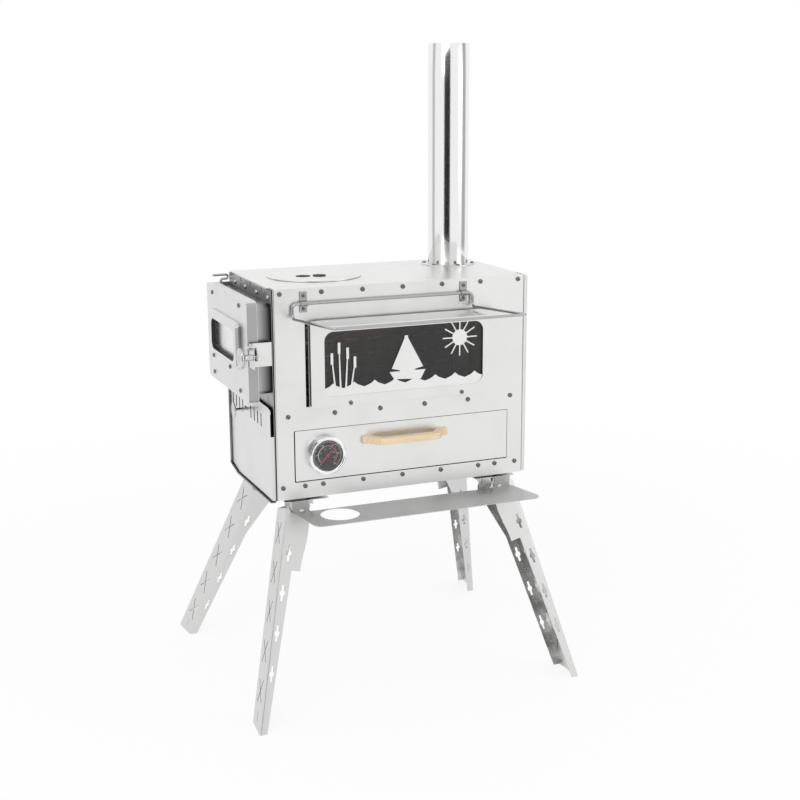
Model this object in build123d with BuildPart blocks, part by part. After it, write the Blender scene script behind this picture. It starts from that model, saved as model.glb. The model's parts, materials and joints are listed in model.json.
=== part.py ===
"""Tent wood stove: a sheet-metal firebox with a baking drawer, on four folding channel legs."""

import os
from math import atan2, cos, degrees, hypot, radians, sin

from build123d import *

os.makedirs("parts", exist_ok=True)

# Driving dimensions in millimetres.
BODY_W = 430.0       # body width, left to right
BODY_D = 240.0       # body depth, front to back
BODY_H = 334.0       # body height, underside to hotplate
LEG_H = 344.0        # floor to the underside of the body
FRONT_Y = -99.9      # where the front face of the body lies in the part's frame
SHEET = 1.5          # body and leg sheet
THIN = 1.2           # door, drawer and trim sheet

FLUE_X = 372.4       # flue axis
FLUE_Y = 177.2
FLUE_R = 35.0        # outside of the pipe
FLUE_BORE = 34.05    # inside of the pipe
FLUE_SOCKET = 34.3   # inside of its expanded upper end, for the next pipe
FLUE_TOP = 369.0     # pipe end above the hotplate

LID_X = 110.0        # hotplate lid centre
LID_Y = 125.0
LID_R = 77.0
LID_SLOTS = [((83.5, 101.5), (92.9, 130.1), 24), ((108.2, 92.6), (120, 128.7), 21)]  # ends, width

DRAWER_X = (31.8, 400.7)
DRAWER_Z = (28.3, 109.7)
GAUGE_X = 81.6       # thermometer centre on the drawer front
GAUGE_Z = 68.5

WIRE_R = 2.25        # swinging rack wire
RACK_X = (30.4, 333.4)
RACK_PIVOT = (-5.6, 311.0)
RACK_ELBOW = (-5.6, 288.5)
RACK_BAR = (-192.0, 304.0)

HINGE_X = -14.0      # fire door hinge axis
HINGE_Y = 246.0
LATCH_Y = -22.5      # latch knob axis on the door ear
LATCH_Z = 237.5

PIVOT_R = 2.5        # leg pivot bolt
FRONT_LEAN = 16.3    # degrees the front legs lean forward and all legs spread sideways
FRONT_SPLAY = 13.2
REAR_LEAN = 25.7
REAR_SPLAY = 14.4
FRONT_PITCH = 62.0   # repeat of the cut-outs down the front and the rear legs
REAR_PITCH = 67.5


def px(x):
    """Part X of a length measured from the body's left side."""
    return x - BODY_W / 2


def py(y):
    """Part Y of a depth measured back from the body's front face."""
    return y + FRONT_Y


def pz(z):
    """Part Z of a height measured up from the body's underside."""
    return z + LEG_H


def at(x, y, z):
    return Vector(px(x), py(y), pz(z))


def block(x, y, z, mode=Mode.ADD):
    """Box between three (low, high) pairs in body measures."""
    with Locations(at(sum(x) / 2, sum(y) / 2, sum(z) / 2)):
        Box(x[1] - x[0], y[1] - y[0], z[1] - z[0], mode=mode)


def rod(x, y, z, r, mode=Mode.ADD):
    """Round bar: the measure given as a (low, high) pair is its length."""
    low = at(*[v[0] if isinstance(v, tuple) else v for v in (x, y, z)])
    high = at(*[v[1] if isinstance(v, tuple) else v for v in (x, y, z)])
    with BuildSketch(Plane(origin=low, z_dir=high - low)) as disc:
        Circle(r)
    extrude(disc.sketch, amount=(high - low).length, mode=mode)


def cone(x, y, z, r, mode=Mode.ADD):
    """Tapered bar: r is the (low end, high end) radius pair."""
    low = at(*[v[0] if isinstance(v, tuple) else v for v in (x, y, z)])
    high = at(*[v[1] if isinstance(v, tuple) else v for v in (x, y, z)])
    middle = (low + high) / 2
    with Locations(Plane(origin=middle, z_dir=high - low)):
        Cone(r[0], r[1], (high - low).length, mode=mode)


def front_slab(x, y, z, corner, mode=Mode.ADD):
    """Plate facing the front, with rounded corners."""
    middle = at(sum(x) / 2, y[1], sum(z) / 2)
    with BuildSketch(Plane(origin=middle, x_dir=(1, 0, 0), z_dir=(0, -1, 0))) as outline:
        RectangleRounded(x[1] - x[0], z[1] - z[0], corner)
    extrude(outline.sketch, amount=y[1] - y[0], mode=mode)


def end_slab(x, y, z, corner, mode=Mode.ADD):
    """Plate facing the left end, with rounded corners."""
    middle = at(x[0], sum(y) / 2, sum(z) / 2)
    with BuildSketch(Plane(origin=middle, x_dir=(0, 1, 0), z_dir=(1, 0, 0))) as outline:
        RectangleRounded(y[1] - y[0], z[1] - z[0], corner)
    extrude(outline.sketch, amount=x[1] - x[0], mode=mode)


def end_polygon(x, points, mode=Mode.ADD):
    """Plate facing the left end, from (depth, height) corners."""
    with BuildSketch(Plane(origin=at(x[0], 0, 0), x_dir=(0, 1, 0), z_dir=(1, 0, 0))) as outline:
        Polygon(*points, align=None)
    extrude(outline.sketch, amount=x[1] - x[0], mode=mode)


def top_polygon(z, points, mode=Mode.ADD):
    """Level plate from (x, depth) corners."""
    with BuildSketch(Plane(origin=at(0, 0, z[0]))) as outline:
        Polygon(*points, align=None)
    extrude(outline.sketch, amount=z[1] - z[0], mode=mode)


def save(builder, name):
    builder.part.label = name
    export_step(builder.part, f"parts/{name}.step")


# Body: front panel with its side edges folded back, cut for the window and the drawer.
with BuildPart() as front_panel:
    block((0, BODY_W), (0, SHEET), (0, BODY_H))
    block((0, SHEET), (SHEET, 26), (0, BODY_H))
    block((BODY_W - SHEET, BODY_W), (SHEET, 26), (0, BODY_H))
    upright = front_panel.edges().filter_by(Axis.Z)
    outer = upright.filter_by_position(Axis.Y, py(-0.1), py(0.1))
    fillet(outer, radius=4)
    inner = front_panel.edges().filter_by(Axis.Z).filter_by_position(Axis.Y, py(1.4), py(1.6))
    fillet(inner, radius=2.5)
    front_slab((76, 356), (-1, 4), (160, 267), 14, Mode.SUBTRACT)
    front_slab((51.3, 56.5), (-1, 4), (147, 283), 1, Mode.SUBTRACT)
    front_slab((30, 401.5), (-1, 4), (26.7, 110.5), 2, Mode.SUBTRACT)
save(front_panel, "front_panel")

# Body: underside, sloping lower back edge and back panel in one folded sheet.
SHELL_OUT = [(SHEET, 0), (202, 0), (BODY_D, 6), (BODY_D, BODY_H - SHEET)]
SHELL_IN = [(BODY_D - SHEET, BODY_H - SHEET), (BODY_D - SHEET, 7.2), (201.8, SHEET), (SHEET, SHEET)]
with BuildPart() as body_shell:
    end_polygon((0, BODY_W), SHELL_OUT + SHELL_IN)
    block((5, BODY_W - 5), (SHEET, 2 * SHEET), (SHEET, 26))
    for corner in ((-1, 4.2), (BODY_W - 4.2, BODY_W + 1)):
        block(corner, (0, 26.2), (-1, 2), Mode.SUBTRACT)
    for edge in (0, BODY_W - SHEET):
        block((edge, edge + SHEET), (30, 195), (SHEET, 25))
        block((edge, edge + SHEET), (214, BODY_D - SHEET), (30, 304))
save(body_shell, "body_shell")

# Body: hotplate sheet with folded edges, cut for the lid and the flue.
with BuildPart() as top_plate:
    block((0, BODY_W), (SHEET, BODY_D), (BODY_H - SHEET, BODY_H))
    block((5, BODY_W - 5), (SHEET, 2 * SHEET), (308, BODY_H - SHEET))
    for corner in ((-1, 4.2), (BODY_W - 4.2, BODY_W + 1)):
        block(corner, (0, 26.2), (BODY_H - 2, BODY_H + 1), Mode.SUBTRACT)
    for edge in (0, BODY_W - SHEET):
        block((edge, edge + SHEET), (30, 210), (308, BODY_H - SHEET))
    rod(LID_X, LID_Y, (BODY_H - 3, BODY_H + 1), 73, Mode.SUBTRACT)
    rod(FLUE_X, FLUE_Y, (BODY_H - 3, BODY_H + 1), 33, Mode.SUBTRACT)
save(top_plate, "top_plate")

# Body: left end wall with a rim turned outward along its back and lower edges.
with BuildPart() as left_end_wall:
    end_polygon((-9.5, 0), [(2, -3), (196.5, -6.5), (239.5, 1.6), (239.5, 332), (2, 332)])
    end_polygon((-10, -1.2), [(-5, -1.5), (195.8, -5), (238, 2.8), (238, 340), (-5, 340)], Mode.SUBTRACT)
    block((-10, -1.2), (200, 241), (152, 340), Mode.SUBTRACT)
    end_slab((-2, 1), (19, 221), (184, 299), 8, Mode.SUBTRACT)
    end_slab((-2, 1), (8, 232), (20, 146), 6, Mode.SUBTRACT)
    for notch in (49.1, 109.7, 165.5):
        block((-2, 1), (notch - 4, notch + 4), (326, 334), Mode.SUBTRACT)
save(left_end_wall, "left_end_wall")

# Body: vented cover standing off the lower half of the left end wall, open along its top.
LOWER_COVER = [(2.5, 0.8), (42, 0.8), (195.5, -2.5), (235.5, 5.5), (235.5, 148), (15, 148), (9, 145.5),
               (6, 139.5), (6, 104), (2.5, 104)]
LOWER_HOLLOW = [(3.7, 2), (42, 2), (195.3, -1.2), (234.3, 6.6), (234.3, 160), (-2, 160), (-2, 104), (3.7, 104)]
VENTS = [56 + 19.3 * step for step in range(4)] + [162 + 19.3 * step for step in range(4)]
with BuildPart() as left_end_cover:
    end_polygon((-6, -1.2), LOWER_COVER)
    end_polygon((-4.8, 0), LOWER_HOLLOW, Mode.SUBTRACT)
    for vent in VENTS:
        end_slab((-7, -4), (vent - 2.3, vent + 2.3), (109, 131), 2.2, Mode.SUBTRACT)
    end_slab((-7, -4), (134.4, 150.2), (117, 123), 2.9, Mode.SUBTRACT)
save(left_end_cover, "left_end_cover")

# Body: plain right end cover.
COVER_OUT = [(2, 1), (203, 1), (238, 7), (238, 332), (2, 332)]
COVER_IN = [(3.2, 2.2), (202.8, 2.2), (236.8, 8.1), (236.8, 330.8), (3.2, 330.8)]
with BuildPart() as right_end_cover:
    end_polygon((BODY_W, BODY_W + 6), COVER_OUT)
    end_polygon((BODY_W - 1, BODY_W + 4.8), COVER_IN, Mode.SUBTRACT)
save(right_end_cover, "right_end_cover")

# Firebox: floor above the drawer, raised grate, slotted back liner, flame baffle.
with BuildPart() as firebox_floor:
    block((2, BODY_W - 2), (3.2, 238.2), (112, 113.5))
    block((5, BODY_W - 5), (SHEET, 3.2), (112, 141))
save(firebox_floor, "firebox_floor")

with BuildPart() as grate:
    block((12, 418), (14, 226), (134, 136.5))
    for edge in (12, 416.5):
        block((edge, edge + SHEET), (14, 226), (113.5, 134))
    for column in range(19):
        for row in (50, 120, 190):
            x = 35 + 20 * column
            block((x - 2.5, x + 2.5), (row - 27, row + 27), (133, 138), Mode.SUBTRACT)
save(grate, "grate")

with BuildPart() as rear_liner:
    block((24, 406), (230, 231.5), (113.5, 300))
    for column in range(9):
        for row in range(6):
            x = 46 + 42.25 * column
            z = 150 + 26 * row
            block((x - 14, x + 14), (229, 233), (z - 2.5, z + 2.5), Mode.SUBTRACT)
save(rear_liner, "rear_liner")

with BuildPart() as baffle:
    block((250, 424), (90, 228), (300.5, 302))
    for edge in (252, 421):
        block((edge, edge + SHEET), (150, 200), (302, BODY_H - SHEET))
save(baffle, "baffle")

# Firebox doorway: collar standing off the left end wall.
with BuildPart() as door_collar:
    end_slab((-23, -1.2), (6, 234), (171, 312), 12)
    end_slab((-24, -2.7), (7.5, 232.5), (172.5, 310.5), 10.5, Mode.SUBTRACT)
    end_slab((-4, 0), (19, 221), (184, 299), 8, Mode.SUBTRACT)
save(door_collar, "door_collar")

# Air control: guides fixed behind the vents, slotted slider between them with a stem and knob.
with BuildPart() as slider_guides:
    block((-4.8, -2.4), (40, 234.3), (100, 103.5))
    block((-2.4, -1.2), (40, 234.3), (100, 106))
    block((-4.8, -2.4), (40, 234.3), (136.5, 140))
    block((-2.4, -1.2), (40, 234.3), (134, 140))
save(slider_guides, "slider_guides")

with BuildPart() as air_slider:
    block((-4.2, -3), (46, 224), (104, 136))
    for vent in VENTS:
        block((-5, -2), (vent - 2.3, vent + 2.3), (110, 130), Mode.SUBTRACT)
save(air_slider, "air_slider")

with BuildPart() as air_knob:
    rod((-27, -4.2), 137.5, 120, 2.4)
    rod((-29.5, -27), 137.5, 120, 12.5)
save(air_knob, "air_knob")

# Fire door: shallow pan with a raised window frame, glass, clamp and inner plate.
with BuildPart() as door_pan:
    end_slab((-40, -24.9), (0, 240), (160, 318), 9)
    end_slab((-38.8, -24), (1.2, 238.8), (161.2, 316.8), 7.8, Mode.SUBTRACT)
    end_slab((-41, -38), (52, 193), (213, 269), 10, Mode.SUBTRACT)
save(door_pan, "door_pan")

with BuildPart() as door_window_frame:
    end_slab((-47.5, -40), (38, 206), (206, 280), 8)
    front_rim = door_window_frame.faces().sort_by(Axis.X)[0].edges()
    chamfer(front_rim, length=4)
    end_slab((-49, -39), (55, 190), (216, 266), 12, Mode.SUBTRACT)
save(door_window_frame, "door_window_frame")

with BuildPart() as door_glass:
    end_slab((-38.8, -34.8), (44, 202), (208, 275), 6)
save(door_glass, "door_glass")

with BuildPart() as door_glass_clamp:
    end_slab((-34.8, -33.3), (40, 206), (204, 279), 4)
    end_slab((-36, -32), (55, 190), (216, 266), 10, Mode.SUBTRACT)
save(door_glass_clamp, "door_glass_clamp")

with BuildPart() as door_liner:
    end_slab((-24.9, -23.7), (0, 240), (160, 318), 9)
    end_slab((-26, -22), (48, 198), (209, 273), 10, Mode.SUBTRACT)
save(door_liner, "door_liner")

# Latch: ear on the door, quarter-turn cam knob through it, keeper on the body.
with BuildPart() as door_ear:
    block((-38.8, -37.6), (-28.5, 0), (219, 256))
    rod((-40, -36), LATCH_Y, LATCH_Z, 2.56, Mode.SUBTRACT)
    rod((-46, -38.8), -10, 249.5, 4)
save(door_ear, "door_ear")

with BuildPart() as latch_knob:
    rod((-60, -56.5), LATCH_Y, LATCH_Z, 16)
    cone((-56.5, -50), LATCH_Y, LATCH_Z, (10, 5))
    rod((-50, -39.3), LATCH_Y, LATCH_Z, 5)
    rod((-39.3, -34.6), LATCH_Y, LATCH_Z, 2.5)
    rod((-34.6, -32.6), LATCH_Y, LATCH_Z + 4, 10.5)
save(latch_knob, "latch_knob")

with BuildPart() as latch_keeper:
    block((-36.5, -4.5), (-7.5, -6), (219, 256))
    block((-36.5, -35), (-11, -7.5), (219, 256))
    block((-6, -4.5), (-7.5, 6), (219, 256))
save(latch_keeper, "latch_keeper")

# Door hinge: knuckles on the door rim, knuckles on the body's back, bent wire pin.
DOOR_KNUCKLES = [(182, 200), (280, 298)]
BODY_KNUCKLES = [(164, 181.5), (200.5, 216), (264, 279.5), (298.5, 316)]
with BuildPart() as door_knuckles:
    for span in DOOR_KNUCKLES:
        block((-36, HINGE_X), (240, 241.5), span)
        block((HINGE_X - 2, HINGE_X + 2), (240, HINGE_Y), span)
        rod(HINGE_X, HINGE_Y, span, 4)
        rod(HINGE_X, HINGE_Y, (span[0] - 1, span[1] + 1), 2.06, Mode.SUBTRACT)
save(door_knuckles, "door_knuckles")

with BuildPart() as hinge_leaf:
    block((-10, 34), (BODY_D, BODY_D + SHEET), (164, 316))
    block((-11, -9.9), (BODY_D - 1, BODY_D + 3), (181.6, 200.4), Mode.SUBTRACT)
    for span in BODY_KNUCKLES:
        block((HINGE_X, -9), (BODY_D, BODY_D + SHEET), span)
        block((HINGE_X - 1, HINGE_X + 3), (BODY_D, HINGE_Y), span)
        rod(HINGE_X, HINGE_Y, span, 4)
        rod(HINGE_X, HINGE_Y, (span[0] - 1, span[1] + 1), 2.03, Mode.SUBTRACT)
save(hinge_leaf, "hinge_leaf")

with BuildPart() as hinge_pin:
    with BuildLine() as bend:
        FilletPolyline(at(HINGE_X, HINGE_Y, 156), at(HINGE_X, HINGE_Y, 320), at(-2, HINGE_Y, 320),
                       at(-2, HINGE_Y, 327), at(-27.5, HINGE_Y, 327), radius=3)
    with BuildSketch(Plane(origin=at(HINGE_X, HINGE_Y, 156))) as wire:
        Circle(2)
    sweep(wire.sketch, path=bend.line)
save(hinge_pin, "hinge_pin")

# Front window: frame plate with a visor folded forward, cut-out screen, glass, gasket.
with BuildPart() as window_frame:
    front_slab((57, 374), (-9.7, -8.2), (146, 284), 3)
    block((57, 374), (-66, -8.2), (282.5, 284))
    for corner in ((57, 67), (364, 374)):
        block(corner, (-12, -8), (282, 285), Mode.SUBTRACT)
    front_slab((79.6, 350.7), (-11, -7), (162, 265), 15, Mode.SUBTRACT)
    block((57, 57 + SHEET), (-8.2, 0), (149, 281))
    for height in (206, 249):
        block((374 - SHEET, 374), (-8.2, 0), (height - 5, height + 5))
save(window_frame, "window_frame")

WINDOW_X = (70, 360)
WINDOW_Z = (154, 275)


def wave_points(x0, x1, level, crest, count):
    """Crest line of rolling water from left to right."""
    points = []
    for step in range(count * 6 + 1):
        x = x0 + (x1 - x0) * step / (count * 6)
        phase = (step % 6) / 6
        points.append((px(x), pz(level + crest * (1 - abs(2 * phase - 1) ** 0.6))))
    return points


with BuildPart() as window_screen:
    front_slab(WINDOW_X, (-8.2, -7), WINDOW_Z, 10)
    front_slab((78, 352.3), (-9, -6), (160.5, 266.5), 15, Mode.SUBTRACT)
    screen_plane = Plane(origin=(0, py(-7), 0), x_dir=(1, 0, 0), z_dir=(0, -1, 0))
    with BuildSketch(screen_plane) as water:
        Polygon(*([(px(76), pz(156)), (px(354), pz(156))]
                  + wave_points(76, 354, 174, 9, 8)[::-1]), align=None)
    extrude(water.sketch, amount=1.2)
    with BuildSketch(screen_plane) as boat:
        Polygon((px(196), pz(181)), (px(188), pz(193)), (px(250), pz(193)), (px(242), pz(178)), align=None)
        Polygon((px(215), pz(192)), (px(215), pz(248)), (px(192), pz(198)), align=None)
        Polygon((px(219), pz(192)), (px(219), pz(248)), (px(246), pz(198)), align=None)
        Polygon((px(214), pz(192)), (px(214), pz(250)), (px(220), pz(250)), (px(220), pz(192)), align=None)
        Polygon((px(206), pz(193)), (px(206), pz(199)), (px(232), pz(199)), (px(232), pz(193)), align=None)
    extrude(boat.sketch, amount=1.2)
    with BuildSketch(screen_plane) as sun:
        with Locations((px(310), pz(240))):
            Circle(13)
        for turn in range(12):
            bearing = radians(30 * turn)
            reach = 30
            tip = (px(310) + reach * cos(bearing), pz(240) + reach * sin(bearing))
            side = (1.1 * sin(bearing), -1.1 * cos(bearing))
            Polygon((px(310) + side[0], pz(240) + side[1]), (tip[0] + side[0], tip[1] + side[1]),
                    (tip[0] - side[0], tip[1] - side[1]), (px(310) - side[0], pz(240) - side[1]),
                    align=None)
    extrude(sun.sketch, amount=1.2)
    with BuildSketch(screen_plane) as reeds:
        for foot, head, height in ((98, 92, 222), (106, 104, 238), (114, 118, 229), (122, 130, 214)):
            Polygon((px(foot - 1.6), pz(164)), (px(head - 0.9), pz(height)),
                    (px(head + 0.9), pz(height)), (px(foot + 1.6), pz(164)), align=None)
            with Locations((px(head), pz(height))):
                Rectangle(4.4, 18)
    extrude(reeds.sketch, amount=1.2)
save(window_screen, "window_screen")

with BuildPart() as window_glass:
    front_slab((64, 364), (-7, -3), (151, 277), 4)
save(window_glass, "window_glass")

with BuildPart() as window_gasket:
    front_slab((66, 362), (-3, 0), (153, 275), 10)
    front_slab((76, 356), (-4, 1), (160, 267), 14, Mode.SUBTRACT)
save(window_gasket, "window_gasket")

# Swinging wire rack: one bent and welded wire loop in two clips.
with BuildPart() as wire_rack:
    for edge in RACK_X:
        middle = sum(RACK_X) / 2
        with BuildLine() as run:
            FilletPolyline(
                at(middle, *RACK_PIVOT),
                at(edge, *RACK_PIVOT),
                at(edge, *RACK_ELBOW),
                at(edge, *RACK_BAR),
                at(middle, *RACK_BAR),
                radius=7,
            )
        with BuildSketch(Plane(origin=at(middle, *RACK_PIVOT), z_dir=(1, 0, 0))) as section:
            Circle(WIRE_R)
        sweep(section.sketch, path=run.line)
save(wire_rack, "wire_rack")

with BuildPart() as rack_clips:
    for x in (49.5, 319):
        block((x - 6, x + 6), (-1.8, 0), (297, 329))
        rod((x - 6, x + 6), RACK_PIVOT[0], RACK_PIVOT[1], 3.9)
        rod((x - 7, x + 7), RACK_PIVOT[0], RACK_PIVOT[1], WIRE_R + 0.06, Mode.SUBTRACT)
save(rack_clips, "rack_clips")

# Hotplate: collar for the flue, lift-off pipe and lift-off lid.
with BuildPart() as flue_collar:
    rod(FLUE_X, FLUE_Y, (BODY_H, BODY_H + 1.5), 47.5)
    rod(FLUE_X, FLUE_Y, (BODY_H, BODY_H + 42), 33.97)
    rod(FLUE_X, FLUE_Y, (BODY_H - 1, BODY_H + 43), 33, Mode.SUBTRACT)
save(flue_collar, "flue_collar")

with BuildPart() as flue_pipe:
    rod(FLUE_X, FLUE_Y, (BODY_H + 1.8, BODY_H + FLUE_TOP), FLUE_R)
    rod(FLUE_X, FLUE_Y, (BODY_H + 1, BODY_H + FLUE_TOP + 1), FLUE_BORE, Mode.SUBTRACT)
    rod(FLUE_X, FLUE_Y, (BODY_H + FLUE_TOP - 48, BODY_H + FLUE_TOP - 45), FLUE_BORE)
    rod(FLUE_X, FLUE_Y, (BODY_H + FLUE_TOP - 49, BODY_H + FLUE_TOP), 33, Mode.SUBTRACT)
    rod(FLUE_X, FLUE_Y, (BODY_H + FLUE_TOP - 45, BODY_H + FLUE_TOP + 1), FLUE_SOCKET, Mode.SUBTRACT)
save(flue_pipe, "flue_pipe")

with BuildPart() as hotplate_lid:
    rod(LID_X, LID_Y, (BODY_H + 0.3, BODY_H + 2), LID_R)
    rod(LID_X, LID_Y, (BODY_H - 8, BODY_H + 0.3), 71.5)
    rod(LID_X, LID_Y, (BODY_H - 9, BODY_H + 0.3), 70, Mode.SUBTRACT)
    for start, end, wide in LID_SLOTS:
        with BuildSketch(Plane(origin=at(0, 0, BODY_H))) as slot:
            with Locations((px((start[0] + end[0]) / 2), py((start[1] + end[1]) / 2))):
                turned = degrees(atan2(end[1] - start[1], end[0] - start[0]))
                SlotOverall(hypot(end[0] - start[0], end[1] - start[1]), wide, rotation=turned)
        extrude(slot.sketch, amount=3, mode=Mode.SUBTRACT)
save(hotplate_lid, "hotplate_lid")

# Baking drawer: front plate, open box, wooden bow handle, dial thermometer.
with BuildPart() as drawer_front:
    front_slab(DRAWER_X, (0, THIN), DRAWER_Z, 1.5)
    rod(GAUGE_X, (-1, 2), GAUGE_Z, 5, Mode.SUBTRACT)
save(drawer_front, "drawer_front")

with BuildPart() as drawer_box:
    block((38, 394), (THIN, 225), (32, 98))
    block((39.2, 392.8), (2 * THIN, 223.8), (33.2, 99), Mode.SUBTRACT)
    rod(GAUGE_X, (-1, 4), GAUGE_Z, 5, Mode.SUBTRACT)
save(drawer_box, "drawer_box")

with BuildPart() as drawer_runners:
    for x0, x1 in ((33, 34.5), (397.5, 399)):
        block((x0, x1), (6, 196), (SHEET, 60))
    block((34.5, 46), (6, 196), (30, 31.5))
    block((386, 397.5), (6, 196), (30, 31.5))
save(drawer_runners, "drawer_runners")

with BuildPart() as drawer_handle:
    bow = [(143, 0), (143, -6), (151, -6), (166, -26), (267, -26), (282, -6), (290, -6), (290, 0),
           (273, 0), (259, -15), (174, -15), (160, 0)]
    top_polygon((79.5, 90.5), bow)
save(drawer_handle, "drawer_handle")

with BuildPart() as gauge_case:
    rod(GAUGE_X, (-15, 0), GAUGE_Z, 28)
    rod(GAUGE_X, (-15, -11), GAUGE_Z, 30.5)
    rod(GAUGE_X, (-16, -9), GAUGE_Z, 24.5, Mode.SUBTRACT)
    rod(GAUGE_X, (0, 60), GAUGE_Z, 3)
    rod(GAUGE_X, (-12.5, -8), GAUGE_Z, 1.5)
save(gauge_case, "gauge_case")

with BuildPart() as gauge_dial:
    rod(GAUGE_X, (-10, -9), GAUGE_Z, 24.2)
    rod(GAUGE_X, (-11, -8), GAUGE_Z, 1.5, Mode.SUBTRACT)
save(gauge_dial, "gauge_dial")

with BuildPart() as gauge_pointer:
    rod(GAUGE_X, (-11.6, -10.8), GAUGE_Z, 3)
    with BuildSketch(Plane(origin=at(GAUGE_X, -10.8, GAUGE_Z), x_dir=(1, 0, 0), z_dir=(0, -1, 0))) as hand:
        Polygon((-13.5, -11), (-11, -13.5), (1.2, -0.8), (15.4, 15.4), (-0.8, 1.2), align=None)
    extrude(hand.sketch, amount=0.8)
    rod(GAUGE_X, (-13, -9), GAUGE_Z, 1.55, Mode.SUBTRACT)
save(gauge_pointer, "gauge_pointer")

# Fold-out shelf plate in front, hung on the lips of the front leg brackets.
with BuildPart() as shelf:
    with BuildSketch(Plane(origin=at(0, 0, -21))) as plan:
        Polygon((23, -9), (37, -87), (426, -87), (408, -9), align=None)
        fillet(plan.vertices().sort_by(Axis.Y)[:2], radius=14)
    extrude(plan.sketch, amount=SHEET)
    for x in (38, 392):
        block((x - 14, x + 14), (-9, -1.5), (-21, -19.5))
        block((x - 14, x + 14), (-3, -1.5), (-19.5, -4))
    for x in (40, 387):
        rod(x, (-8, 0), -22.3, 5.8, Mode.SUBTRACT)
    rod(90, -41, (-22, -18), 31, Mode.SUBTRACT)
save(shelf, "shelf")


class Leg:
    """Where one folding leg stands: its pivot, lean and channel size."""

    def __init__(self, name, left, front):
        self.name = name
        self.left = left
        self.front = front
        self.out = Vector(-1, 0, 0) if left else Vector(1, 0, 0)
        self.half = 25.0 if left else 28.0
        self.web = 26.0 if left else 29.0
        self.pitch = FRONT_PITCH if front else REAR_PITCH
        lean = radians(FRONT_LEAN if front else REAR_LEAN)
        splay = radians(FRONT_SPLAY if front else REAR_SPLAY)
        toward = -1 if front else 1
        self.pivot = at(40 if left else BODY_W - 43, 25.6 if front else 214.8, -30 if front else -36)
        self.down = Vector(0, toward * sin(lean), -cos(lean))
        self.back = Vector(0, cos(lean), toward * sin(lean))
        self.along = self.down * cos(splay) + self.out * sin(splay)
        self.face = self.out * cos(splay) - self.down * sin(splay)
        self.length = (self.pivot + self.face * self.web).Z / -self.along.Z

    def flange_plane(self, offset=0.0):
        """Side view plane: x outward across the leg, y up the leg, origin on the pivot."""
        normal = self.back if self.left else self.back * -1
        return Plane(origin=self.pivot + self.back * offset, x_dir=self.face, z_dir=normal)

    def web_plane(self):
        """Face view plane on the outside of the web: y up the leg."""
        normal = self.face
        across = (self.along * -1).cross(normal)
        return Plane(origin=self.pivot + self.face * self.web, x_dir=across, z_dir=normal)

    def end_plane(self):
        """Plane across the leg at the pivot, looking down the leg."""
        return Plane(origin=self.pivot, x_dir=self.face, z_dir=self.along)

    def upright_plane(self, offset):
        """Side view plane with y straight up, for the bracket ears."""
        normal = self.back if self.left else self.back * -1
        return Plane(origin=self.pivot + self.back * offset, x_dir=self.out, z_dir=normal)


LEGS = [Leg("leg_front_left", True, True), Leg("leg_front_right", False, True),
        Leg("leg_rear_left", True, False), Leg("leg_rear_right", False, False)]


def slit(length, width, angle):
    """Narrow slot centred where the current location is."""
    Rectangle(width, length, rotation=angle)


def flange_outline(leg, gusset):
    """Side outline of the channel, its inner edge stepped out to a gusset or plain."""
    reach = leg.length
    with BuildLine() as edge:
        Polyline((0, 14), (leg.web, 3), (leg.web, -reach - 40), (leg.web - 12, -reach - 40),
                 (leg.web - 12, -reach), (leg.web - 21, -93))
        if gusset:
            Line((leg.web - 21, -93), (-9.5, -93))
            Spline((-9.5, -93), (-11.5, -65), (-15, -38), tangents=((0.1, 1), (-0.1, 1)))
            Line((-15, -38), (-15, -16))
            Line((-15, -16), (-14, 0))
        else:
            Line((leg.web - 21, -93), (-12, -14))
            Line((-12, -14), (-14, 0))
        ThreePointArc((-14, 0), (-9.9, 9.9), (0, 14))
    return edge.line


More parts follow.
